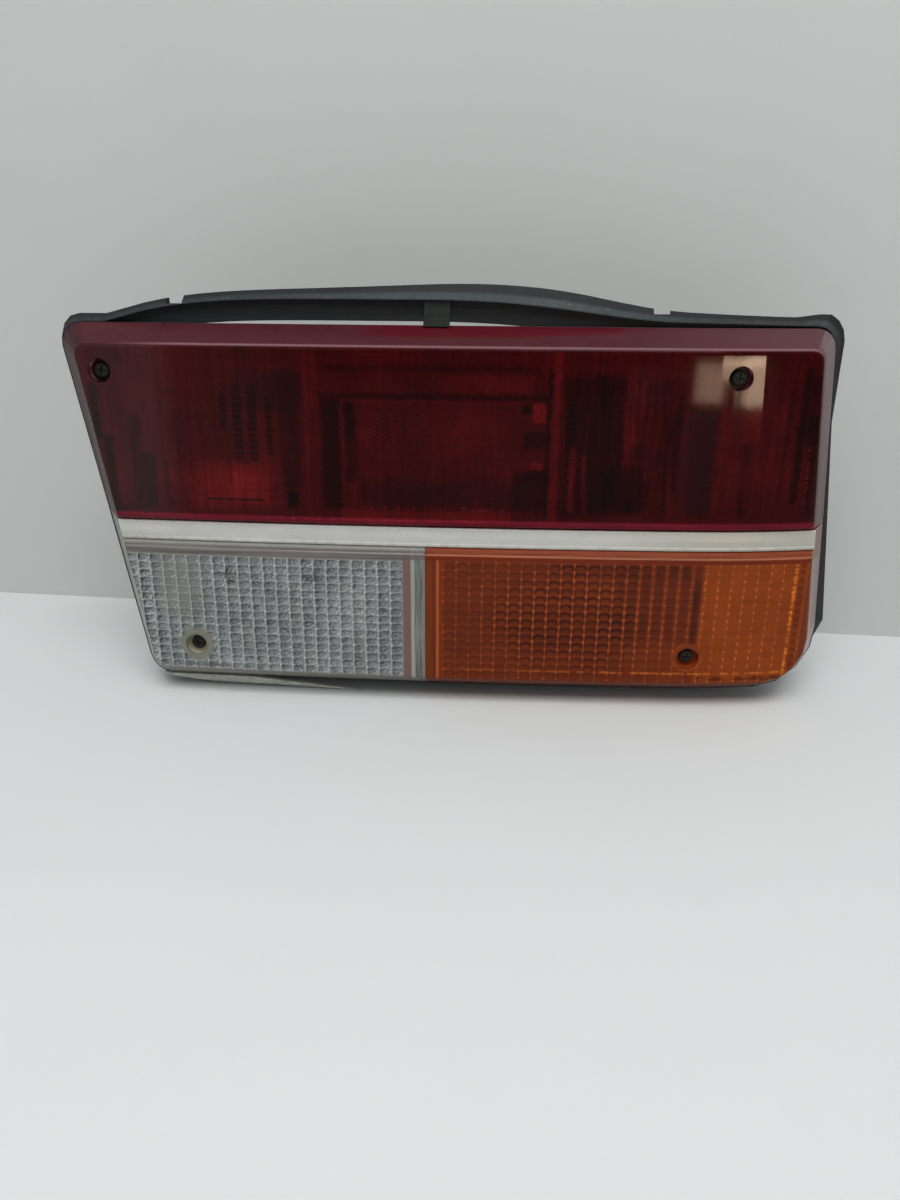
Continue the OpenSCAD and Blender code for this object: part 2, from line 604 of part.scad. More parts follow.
// Clip that hooks the gasket's web to the rim of the lens
module gasket_clip() {
    x = clip_x;
    top = face_up + rim_s + lift_at(x) - 0.2;
    low = face_up + rim_s - 0.3;
    y0 = gasket_y + bow(x) - 0.8;
    front = rim_y + bow(x) - 2.6;
    profile = [[y0 + 0.6, top], [y0 - 0.6, top], [y0 - 0.6, low + 4.2], [front, low + 3.4], [front, low],
        [front + 1.1, low], [front + 1.1, low + 2.4], [y0 + 0.6, low + 3]];
    color([0.25, 0.27, 0.25]) translate([x - clip_w / 2, 0, 0])
        rotate([90, 0, 90]) linear_extrude(clip_w) polygon(profile);
}

// Chamber walls as [x, lowest z, highest z]
wall_high_z = face_up - 6;
chamber_walls = [[left_x + chamber_in_x, lip_z + 4, wall_high_z],
    [right_x - chamber_out_x, lip_z + 4, wall_high_z],
    [right_x - indicator_wall_x, lower_z + recess_r + recess_t + 1.2, -groove_h - 3.4]];
wall_end_y = -tub_t - carrier_clear - 1;
tub_top = face_up + rim_s - tub_in;
tub_bottom = -face_down - rim_s + tub_in;

// Moulded housing: curved flange, straight tub, chamber walls and screw posts
module housing() {
    inside = tub_in + tub_t;
    color([0.62, 0.63, 0.63]) difference() {
        union() {
            // Flange
            intersection() {
                plate(flange_y - 5, 0) difference() {
                    polygon(outline(rim_s));
                    polygon(outline(rim_s, inside));
                }
                curved_slab(flange_y, gasket_y, -200, 200);
            }
            // Tub walls
            intersection() {
                plate(flange_y, -tub_t / 2) difference() {
                    polygon(outline(rim_s, tub_in));
                    polygon(outline(rim_s, inside));
                }
                curved_slab(flange_y + 0.5, 80, -200, 200);
            }
            // Back wall with the opening for the bulb carrier
            plate(-tub_t, 0) difference() {
                polygon(outline(rim_s, tub_in));
                translate([-opening_w / 2, -opening_down]) square([opening_w, opening_up + opening_down]);
            }
            // Shelf between the red chambers and the lower ones
            intersection() {
                plate(flange_y - 5, wall_end_y) intersection() {
                    polygon(outline(rim_s, inside - 0.5));
                    translate([-face_w, divider_z - chamber_t / 2]) square([2 * face_w, chamber_t]);
                }
                curved_slab(flange_y, 80, -50, 50);
            }
            // Upright chamber walls, which reach forwards into the lenses
            for (w = chamber_walls)
                translate([w[0] - chamber_t / 2, chamber_y(w[0]), w[1]])
                    cube([chamber_t, wall_end_y - chamber_y(w[0]), w[2] - w[1]]);
            // The same walls and the one behind the joint of the lower lenses, from the rim to the back
            for (w = concat(chamber_walls, [[split_x, -1]])) {
                low = w[1] > 0 ? divider_z : tub_bottom;
                y0 = flange_y + bow(w[0]);
                translate([w[0] - chamber_t / 2, y0, low])
                    cube([chamber_t, wall_end_y - y0, (w[1] > 0 ? tub_top : divider_z) - low]);
            }
            // Screw posts
            for (p = screw_at)
                rod(p[0], p[1], seat_y(p) + recess_t + bond_gap, -tub_t / 2, post_r);
            // Bosses for the thumb screws and the studs
            for (x = thumb_x)
                rod(x, thumb_z, -12, -tub_t / 2, thumb_r + 2.5);
            for (p = stud_at)
                rod(p[0], p[1], -collar_l - 1, -tub_t / 2, stud_r + stud_collar + 2);
        }
        for (p = screw_at)
            rod(p[0], p[1], seat_y(p), seat_y(p) + screw_l + 2, screw_r + screw_clear);
        for (x = thumb_x)
            rod(x, thumb_z, -11, 1, thumb_r + screw_clear);
        for (p = stud_at)
            rod(p[0], p[1], -collar_l, 1, stud_r + stud_collar);
    }
}
function chamber_y(x) = face_y + lens_t + prism_h + chamber_gap + bow(x);
stud_at = [[-stud_dx / 2, stud_dz / 2], [stud_dx / 2, stud_dz / 2], [-stud_dx / 2, -stud_dz / 2],
    [stud_dx / 2, -stud_dz / 2]];
thumb_x = [-opening_w / 2 - thumb_r - 4, opening_w / 2 + thumb_r + 4];
thumb_z = 4;
collar_l = 7;

// Pan head screw with a cross recess, head forwards
module lens_screw(p) {
    y = seat_y(p);
    color([0.2, 0.2, 0.2]) difference() {
        union() {
            rod(p[0], p[1], y, y + screw_l, screw_r);
            translate([p[0], y, p[1]]) rotate([90, 0, 0]) rotate_extrude()
                polygon(concat([[0, 0], [head_r, 0], [head_r, head_h * 0.45]],
                    [for (a = [15:15:90]) [head_r * cos(a), head_h * (0.45 + 0.55 * sin(a))]]));
        }
        for (turn = [8, 98])
            translate([p[0], y - head_h, p[1]]) rotate([0, turn, 0])
                cube([head_r * 1.15, head_h * 1.1, 0.9], center = true);
        rod(p[0], p[1], y - head_h - 1, y - head_h * 0.25, head_r * 0.24);
    }
}

// Places of the bulbs, in the order of BULBS
bulb_up = 36;
bulb_down = -31;
bulb_at = [[left_x + fog_bulb_in, bulb_up], [right_x - stop_bulb_in, bulb_up],
    [left_x + reversing_bulb_in, bulb_down], [right_x - indicator_bulb_in, bulb_down]];
contact_hole_r = 5.6;
carrier_y = -tub_t;

// Bulb as one sealed solid: brass cap, neck and pear-shaped glass
module bulb(p) {
    base = carrier_y + 1;
    r = cap_r - cap_clear;
    glass_c = bulb_l - glass_r;
    color([0.85, 0.85, 0.82]) translate([p[0], base, p[1]]) rotate([90, 0, 0]) rotate_extrude()
        polygon(concat([[0, 0], [2, 0], [3, 1.2], [r, 1.8], [r, cap_l], [r - 1, cap_l + 1]],
            [for (a = [-50:10:80]) [glass_r * cos(a), glass_c + glass_r * sin(a)]], [[0, bulb_l]]));
}

// Bulb carrier: plate that plugs the opening, a rim behind it and a tube for each bulb
module bulb_carrier() {
    c = carrier_clear;
    w = opening_w - 2 * c;
    h = opening_up + opening_down - 2 * c;
    color([0.85, 0.83, 0.76]) difference() {
        union() {
            translate([-w / 2, carrier_y, -opening_down + c]) cube([w, tub_t + 0.5, h]);
            plate(0, carrier_t) union() {
                translate([-w / 2 - carrier_lap, -opening_down - carrier_lap])
                    square([w + 2 * carrier_lap, opening_up + opening_down + 2 * carrier_lap]);
                for (x = thumb_x)
                    translate([x, thumb_z]) circle(r = thumb_r + 5);
            }
            for (p = bulb_at)
                rod(p[0], p[1], carrier_y - 12, carrier_y + 1, cap_r + socket_t);
            // Stiffening ribs on the back
            for (z = [-opening_down + 12, opening_up - 12])
                translate([-w / 2 + 8, carrier_t - 0.5, z]) cube([w - 16, 2.5, 2]);
        }
        for (p = bulb_at) {
            rod(p[0], p[1], carrier_y - 20, carrier_y + 2, cap_r);
            rod(p[0], p[1], carrier_y - 1, carrier_t + 1, contact_hole_r);
        }
        for (x = thumb_x)
            rod(x, thumb_z, -1, carrier_t + 1, thumb_r + screw_clear);
    }
}

// Thumb screw: knurled head behind the carrier
module thumb_screw(x) {
    color([0.8, 0.8, 0.78]) union() {
        rod(x, thumb_z, -10, carrier_t + 1, thumb_r);
        translate([x, carrier_t + 8, thumb_z]) rotate([90, 0, 0]) linear_extrude(8)
            polygon([for (a = [0:10:350]) (5 + (a % 20 == 0 ? 0.5 : 0)) * [cos(a), sin(a)]]);
    }
}

// Fixing stud: shank behind the housing, on a collar that is moulded into its boss
module stud(p) {
    tip = 1;
    color([0.75, 0.73, 0.6]) union() {
        rod(p[0], p[1], -collar_l, 0, stud_r + stud_collar);
        rod(p[0], p[1], -tip, stud_l - tip, stud_r);
        translate([p[0], stud_l - tip, p[1]]) rotate([-90, 0, 0])
            cylinder(r1 = stud_r, r2 = stud_r - 0.8, h = tip);
    }
}

// Flat brass strip on the back of the carrier along corner points, with a blade at its last point
module brass(path) {
    y = carrier_t;
    last = path[len(path) - 1];
    color([0.78, 0.62, 0.3]) union() {
        for (j = [0:len(path) - 2]) {
            a = path[j];
            b = path[j + 1];
            translate([min(a[0], b[0]) - brass_w / 2, y, min(a[1], b[1]) - brass_w / 2])
                cube([abs(a[0] - b[0]) + brass_w, brass_t, abs(a[1] - b[1]) + brass_w]);
        }
        translate([last[0] - brass_w / 2, y, last[1] - brass_t / 2]) cube([brass_w, blade_l, brass_t]);
    }
}

// Contact of one function: runs to its bulb, with a dimple that meets the bulb's tip
blade_z = 2;
blade_x = [-30, -20, -10, 10, 20, 30];
pole_in = 4.2;
module contact(i) {
    p = bulb_at[[0, 2, 1, 1, 3][i]];
    side = [0, 0, -pole_in, pole_in, 0][i];
    start = [p[0] + side, p[1]];
    lane = blade_z + [12, -12, 20, 12, -12][i];
    x = blade_x[i + 1];
    color([0.78, 0.62, 0.3]) union() {
        brass([start, [start[0], lane], [x, lane], [x, blade_z]]);
        rod(start[0], start[1], carrier_y + 1.02, carrier_t + 0.2, side == 0 ? 1.6 : 1);
    }
}

// Earth strip along the carrier's middle
module earth_strip() {
    brass([[bulb_at[0][0] + 14, blade_z], [blade_x[0], blade_z]]);
}

red_lens();
clear_lens();
amber_lens();
trim_strip();
reflex_panel();
lens_seal();
body_gasket();
gasket_clip();
housing();
bulb_carrier();
earth_strip();
for (i = [0:3]) lens_screw(screw_at[i]);
for (i = [0:3]) bulb(bulb_at[i]);
for (i = [0:3]) stud(stud_at[i]);
for (i = [0:1]) thumb_screw(thumb_x[i]);
for (i = [0:4]) contact(i);
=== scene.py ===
import bpy
from mathutils import Matrix, Vector

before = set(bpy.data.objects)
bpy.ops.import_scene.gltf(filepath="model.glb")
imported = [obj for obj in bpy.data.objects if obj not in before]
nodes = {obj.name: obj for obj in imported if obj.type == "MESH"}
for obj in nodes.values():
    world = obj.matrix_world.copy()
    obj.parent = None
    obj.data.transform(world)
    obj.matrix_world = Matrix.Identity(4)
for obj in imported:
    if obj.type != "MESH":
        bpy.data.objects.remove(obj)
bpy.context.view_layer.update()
scene = bpy.context.scene
MM = 0.001

# Camera, fitted to the photograph
CAM_AT = (0.019058, -0.522927, 0.123288)
CAM_RIGHT = (0.998433, 0.055532, 0.006865)
CAM_DOWN = (0.02528, -0.338203, -0.940736)
CAM_AHEAD = (-0.049918, 0.939437, -0.339073)
CAM_LENS_MM = 26.4
CAM_SENSOR_MM = 36.0
CAM_NEAR = 0.01
cam_data = bpy.data.cameras.new("camera")
cam_data.lens = CAM_LENS_MM
cam_data.sensor_width = CAM_SENSOR_MM
cam_data.sensor_fit = "AUTO"
cam_data.clip_start = CAM_NEAR
camera = bpy.data.objects.new("camera", cam_data)
scene.collection.objects.link(camera)
turn = Matrix((CAM_RIGHT, [-v for v in CAM_DOWN], [-v for v in CAM_AHEAD])).transposed().to_4x4()
camera.matrix_world = Matrix.Translation(CAM_AT) @ turn
scene.camera = camera
scene.view_settings.view_transform = "Standard"

# Shape of the lamp's face in millimetres, as in the CAD source
FACE_Y = -67.0
PLAN_R = 3600.0
TURN_X = 124.0
TURN_R = 370.0
# Depth behind the face over which it gives way to the walls
RED_FACE_END = (2.4, 0.7)
LOW_FACE_END = (2.6, 0.8)
# Pitch of the large prisms, and x and z where an upright and a level line of them cross
PITCH_X = 7.12
PITCH_Z = 4.55
CLEAR_GRID = (-31.2, -88.0)
AMBER_GRID = (-9.0, -87.4)
# Parts of the faces with prisms: x from, x to, z from, z to
CLEAR_AREA = (-196, -31.6, -88.2, -19.8)
AMBER_AREA = (-9.6, 190, -88.4, -18.8)
# x and z of the lens screws
SCREW_UPPER_IN = (-187.5, 79.0)
SCREW_UPPER_OUT = (137.4, 79.4)
SCREW_LOWER_IN = (-150.6, -72.8)
SCREW_LOWER_OUT = (127.2, -72.6)
# Behind the red lens: small prisms, dashes, slats, comb, and the reflex panel's hatching
DOT_X, DOT_Z = 1.78, 1.52
DASH_PITCH = 3.15
SLAT_PITCH = 3.1
COMB_PITCH = 1.95
HATCH_SLOPE, HATCH_PITCH = 0.50, 2.35
# Added to x so that an upright line, or a bright spot, falls at its place
LINE_SHIFT = 80.2
SPOT_SHIFT = 44
# Share of brightness in the coordinates of a red patch, and how its softness is widened
CHAIN = 1e-6
PATCH_SOFT_GAIN, PATCH_SOFT_MORE = 1.7, 1.0


def scene_colour(colour):
    """Linear colour and alpha. Three numbers are an 8-bit sRGB colour, four are kept."""
    if len(colour) == 4:
        return colour
    out = []
    for c in colour:
        v = c / 255
        out.append(v / 12.92 if v <= 0.04045 else ((v + 0.055) / 1.055) ** 2.4)
    return (*out, 1.0)


class Val:
    """A number in a material's node tree. Arithmetic on it adds Math nodes."""

    def __init__(self, mat, sock):
        self.mat, self.sock = mat, sock

    def __add__(self, o):
        return self.mat.math("ADD", self, o)

    def __radd__(self, o):
        return self.mat.math("ADD", o, self)

    def __sub__(self, o):
        return self.mat.math("SUBTRACT", self, o)

    def __rsub__(self, o):
        return self.mat.math("SUBTRACT", o, self)

    def __mul__(self, o):
        return self.mat.math("MULTIPLY", self, o)

    def __rmul__(self, o):
        return self.mat.math("MULTIPLY", o, self)

    def __truediv__(self, o):
        return self.mat.math("DIVIDE", self, o)

    def abs(self):
        return self.mat.math("ABSOLUTE", self)

    def fract(self):
        return self.mat.math("FRACT", self)

    def floor(self):
        return self.mat.math("FLOOR", self)

    def min(self, o):
        return self.mat.math("MINIMUM", self, o)

    def max(self, o):
        return self.mat.math("MAXIMUM", self, o)

    def clamp(self):
        return self.mat.math("ADD", self, 0.0, clamp=True)

    def step(self, a, b):
        """0 below a and 1 above b, smooth between them."""
        n = self.mat.node("ShaderNodeMapRange", interpolation_type="SMOOTHSTEP")
        self.mat.put(n.inputs[0], self)
        n.inputs[1].default_value, n.inputs[2].default_value = (a, b) if a < b else (b, a)
        n.inputs[3].default_value, n.inputs[4].default_value = (0.0, 1.0) if a < b else (1.0, 0.0)
        return Val(self.mat, n.outputs[0])

    def band(self, a, b, soft):
        """1 between a and b, fading to 0 over soft."""
        return self.step(a - soft / 2, a + soft / 2) * self.step(b + soft / 2, b - soft / 2)

    def zigzag(self, pitch):
        """Distance from the middle of each pitch, from 0 to 0.5."""
        return ((self / pitch).fract() - 0.5).abs()


class Mat:
    """A procedural material with one Principled shader. Lengths are in millimetres."""

    def __init__(self, name, roughness, metallic=0.0, specular=0.5, coat=0.0, coat_roughness=0.05):
        self.mat = bpy.data.materials.new(name)
        self.mat.use_nodes = True
        self.tree = self.mat.node_tree
        self.tree.nodes.clear()
        self.out = self.node("ShaderNodeOutputMaterial")
        self.bsdf = self.node("ShaderNodeBsdfPrincipled")
        self.tree.links.new(self.bsdf.outputs[0], self.out.inputs[0])
        for key, value in (
            ("Roughness", roughness),
            ("Metallic", metallic),
            ("Specular IOR Level", specular),
            ("Coat Weight", coat),
            ("Coat Roughness", coat_roughness),
        ):
            self.bsdf.inputs[key].default_value = value
        tex = self.node("ShaderNodeTexCoord")
        scale = self.node("ShaderNodeVectorMath", operation="SCALE")
        scale.inputs["Scale"].default_value = 1 / MM
        self.tree.links.new(tex.outputs["Object"], scale.inputs[0])
        self.pos = Val(self, scale.outputs[0])
        parts = self.node("ShaderNodeSeparateXYZ")
        self.tree.links.new(scale.outputs[0], parts.inputs[0])
        self.x, self.y, self.z = (Val(self, o) for o in parts.outputs)
        # Where things behind the surface seem to be
        self.seen_x, self.seen_z = self.x, self.z

    def node(self, kind, **values):
        n = self.tree.nodes.new(kind)
        for key, value in values.items():
            setattr(n, key, value)
        return n

    def put(self, socket, value):
        if isinstance(value, Val):
            self.tree.links.new(value.sock, socket)
        elif value is not None:
            socket.default_value = value

    def math(self, op, a, b=None, clamp=False):
        n = self.node("ShaderNodeMath", operation=op, use_clamp=clamp)
        self.put(n.inputs[0], a)
        self.put(n.inputs[1], b)
        return Val(self, n.outputs[0])

    def vec(self, x, y, z):
        n = self.node("ShaderNodeCombineXYZ")
        for socket, value in zip(n.inputs, (x, y, z)):
            self.put(socket, value)
        return Val(self, n.outputs[0])

    def noise(self, size, detail, rough=0.55, at=None, warp=0.0):
        """Noise between 0 and 1, with features of about size millimetres."""
        n = self.node("ShaderNodeTexNoise")
        self.put(n.inputs["Vector"], at or self.pos)
        n.inputs["Scale"].default_value = 1 / size
        n.inputs["Detail"].default_value = detail
        n.inputs["Roughness"].default_value = rough
        n.inputs["Distortion"].default_value = warp
        return Val(self, n.outputs[0])

    def cells(self, size):
        """Distance from the nearest of points about size millimetres apart."""
        n = self.node("ShaderNodeTexVoronoi", feature="F1")
        self.put(n.inputs["Vector"], self.pos)
        n.inputs["Scale"].default_value = 1 / size
        return Val(self, n.outputs["Distance"])

    def random(self, at):
        """A number between 0 and 1 for each value of at."""
        n = self.node("ShaderNodeTexWhiteNoise")
        self.put(n.inputs["Vector"], at)
        return Val(self, n.outputs["Value"])

    def mix(self, share, a, b, kind="MIX"):
        """Colour a with share of colour b mixed in."""
        n = self.node("ShaderNodeMix", data_type="RGBA", blend_type=kind, clamp_factor=True)
        self.put(n.inputs[0], share)
        for socket, colour in ((n.inputs[6], a), (n.inputs[7], b)):
            self.put(socket, colour if isinstance(colour, Val) else scene_colour(colour))
        return Val(self, n.outputs[2])

    def ramp(self, value, stops):
        """Colour for a value from 0 to 1, from stops of position and colour."""
        n = self.node("ShaderNodeValToRGB")
        self.put(n.inputs[0], value)
        points = n.color_ramp.elements
        while len(points) < len(stops):
            points.new(1.0)
        for point, (at, colour) in zip(points, stops):
            point.position = at
            point.color = scene_colour(colour)
        return Val(self, n.outputs[0])

    def normal(self):
        """Parts of the surface's direction along X, Y and Z."""
        n = self.node("ShaderNodeNewGeometry")
        parts = self.node("ShaderNodeSeparateXYZ")
        self.tree.links.new(n.outputs["Normal"], parts.inputs[0])
        return [Val(self, o) for o in parts.outputs]

    def colour(self, value):
        self.put(self.bsdf.inputs["Base Color"], value)

    def rough(self, value):
        self.put(self.bsdf.inputs["Roughness"], value)

    def bump(self, height, distance, strength):
        """Bump from a height of 0 to 1 that stands for distance millimetres."""
        n = self.node("ShaderNodeBump")
        n.inputs["Strength"].default_value = strength
        n.inputs["Distance"].default_value = distance * MM
        self.put(n.inputs["Height"], height)
        self.tree.links.new(n.outputs[0], self.bsdf.inputs["Normal"])

    def box(self, x0, x1, z0, z1, soft):
        """1 inside a rectangle of the face, fading to 0 over soft."""
        return self.x.band(x0, x1, soft) * self.z.band(z0, z1, soft)

    def patched(self, value, x0, x1, z0, z1, amount, soft, lean):
        """value with amount added inside a rectangle, whose sides lean by lean millimetres in x
        for each in z. The tiny share of value in the coordinates makes each patch wait for the
        one before it, or the renderer runs out of room for them."""
        x, z = self.seen_x + value * CHAIN, self.seen_z + value * CHAIN
        if lean:
            x = x - z * lean
        soft = soft * PATCH_SOFT_GAIN + PATCH_SOFT_MORE
        return value + x.band(x0, x1, soft) * z.band(z0, z1, soft) * amount

    def blob(self, x, z, rx, rz):
        """1 at a point, fading to 0 on an ellipse round it."""
        u, v = (self.x - x) / rx, (self.z - z) / rz
        return (u * u + v * v).step(1.0, 0.0)

    def ring(self, x, z):
        """Distance from an axis along Y."""
        u, v = self.x - x, self.z - z
        return self.math("SQRT", u * u + v * v)

    def depth(self):
        """Depth behind the lamp's curved face."""
        past = (self.x - TURN_X).max(0.0)
        return self.y - FACE_Y - self.x * self.x / (2 * PLAN_R) - past * past / (2 * TURN_R)


def dress(mat, *names):
    """Give the named CAD nodes a material."""
    for name in names:
        slots = nodes[name].material_slots
        if not slots:
            nodes[name].data.materials.append(mat.mat)
        for slot in slots:
            slot.material = mat.mat


# Red lens: dark chambers, ribs and a reflex panel that show through the glossy plastic.
# Colours from the darkest to the brightest
RED_STOPS = [
    (0.0, (0.0048, 0.0010, 0.0011, 1)),
    (0.3, (0.0185, 0.0013, 0.0016, 1)),
    (0.5, (0.0450, 0.0022, 0.0026, 1)),
    (0.7, (0.0980, 0.0040, 0.0050, 1)),
    (0.88, (0.1900, 0.0095, 0.0120, 1)),
    (1.0, (0.3500, 0.0260, 0.0290, 1)),
]
# Each patch: x from, x to, z from, z to, change of brightness, softness, lean
RED_PATCHES = [
    # Inboard chamber
    (-150, -96, 7, 34, 0.12, 10, 0),
    (-140, -98, 9, 32, 0.14, 9, 0),
    (-124, -106, 12, 30, 0.08, 5, 0),
    (-168, -150, 4, 30, 0.05, 6, 0),
    (-118, -84, 60, 80, -0.12, 3, 0),
    (-94, -84, 20, 80, -0.12, 3, 0),
    (-92.5, -87.5, 9.5, 18, -0.5, 1, 0),
    (-92.5, -87.5, 20.6, 22.4, -0.24, 1, 0),
    (-191.5, -187, -2, 46, -0.34, 1.2, 0),
    (-196.5, -192.5, 44, 72, -0.36, 1.2, 0),
    (-196, -176, 82, 90, -0.12, 2, 0),
    (-181, -176, 83, 89, -0.16, 2, 0),
    (-178.5, -172, 10, 56, -0.2, 2, 0.03),
    (-171, -164.5, 8, 36, -0.32, 1.2, 0),
    (-159, -157, 6, 34, -0.16, 0.7, 0),
    (-150.8, -149.4, 8, 60, -0.08, 0.7, 0),
    (-142.4, -141.2, 14, 24, -0.1, 0.6, 0),
    (-190, -168, 5, 9, -0.14, 1.4, 0),
    (-84, -78.4, 2, 91, 0.06, 1.2, 0),
    (-78, -73, 62, 90, 0.06, 1.2, 0),
    # Middle chamber
    (-72.5, -63.5, 9, 66, -0.30, 1.6, 0),
    (-60.6, -55.5, 46, 65, -0.30, 1.5, 0),
    (-60.6, -54, 24, 47, -0.16, 2, 0),
    (-62.8, -61.0, 8, 66, 0.05, 0.8, 0),
    (-74, 45, 67.0, 69.8, -0.20, 1, 0),
    (-63, 32, 65.2, 66.6, 0.10, 0.6, 0),
    (-70, 40, 80.6, 84, -0.10, 1.6, 0),
    (-10, 36, 70.5, 80, 0.10, 2, 0),
    (-16, 26, 34, 60, 0.06, 8, 0),
    (-15.6, -13.8, 14, 64, 0.05, 0.6, 0),
    (-52, 31, 11, 24, -0.12, 4, 0),
    (28, 45, 10, 30, -0.24, 3, 0),
    (-64, 27, 2.4, 8.8, 0.18, 1, 0),
    (36.4, 43, 56, 66, 0.24, 0.8, 0),
    (31, 36, 60.5, 65, -0.34, 0.8, 0),
    (36.4, 42, 31.5, 36, 0.20, 0.8, 0),
    (33, 43, 43, 51, -0.22, 1, 0),
    (33, 43, 27, 31, -0.12, 0.8, 0),
    (46.2, 51, 4, 91, 0.13, 0.8, 0),
    (43.6, 46.0, 6, 84, -0.20, 0.5, 0),
    # Outboard chamber
    (51.6, 82, 8, 79, -0.23, 4, 0),
    (55.5, 59.8, 9, 44, 0.28, 1, 0),
    (63.0, 66.8, 9, 40, 0.24, 1, -0.04),
    (67.5, 73, 9, 36, -0.06, 1, 0),
    (74, 95, 9.4, 34, -0.17, 2, 0),
    (84, 90, 10, 15, -0.16, 2, 0),
    (82, 88, 44, 60, 0.03, 2, 0),
    (88, 95, 10, 46, -0.08, 1.5, 0),
    (95, 113, 8, 78, -0.07, 4, 0),
    (103, 112, 20, 60, -0.03, 3, 0),
    (115.5, 131, 8, 64, -0.12, 1.6, 0),
    (121, 129.5, 10, 62, -0.10, 2, 0),
    (131, 172, 12, 66, 0.05, 1.5, 0),
    (131.5, 144, 20, 64, 0.04, 1.5, 0),
    (144.5, 153, 47, 66, 0.12, 1.5, 0),
    (144, 151, 10, 47, -0.08, 2, 0),
    (166, 168, 14, 74, -0.14, 0.8, 0),
    (173.0, 176.4, 14, 84, -0.28, 1, 0),
    (176.4, 183, 46, 80, -0.15, 3, 0),
    (183, 190, 6, 60, -0.18, 2, -0.09),
]
# Columns of dark dashes in the inboard chamber: middle, width, z from, z to
RED_DASHES = [
    (-125, 3.0, 50, 70),
    (-117.3, 4.8, 33, 73),
    (-109.4, 4.4, 33, 73),
    (-100.6, 2.8, 37, 68),
]


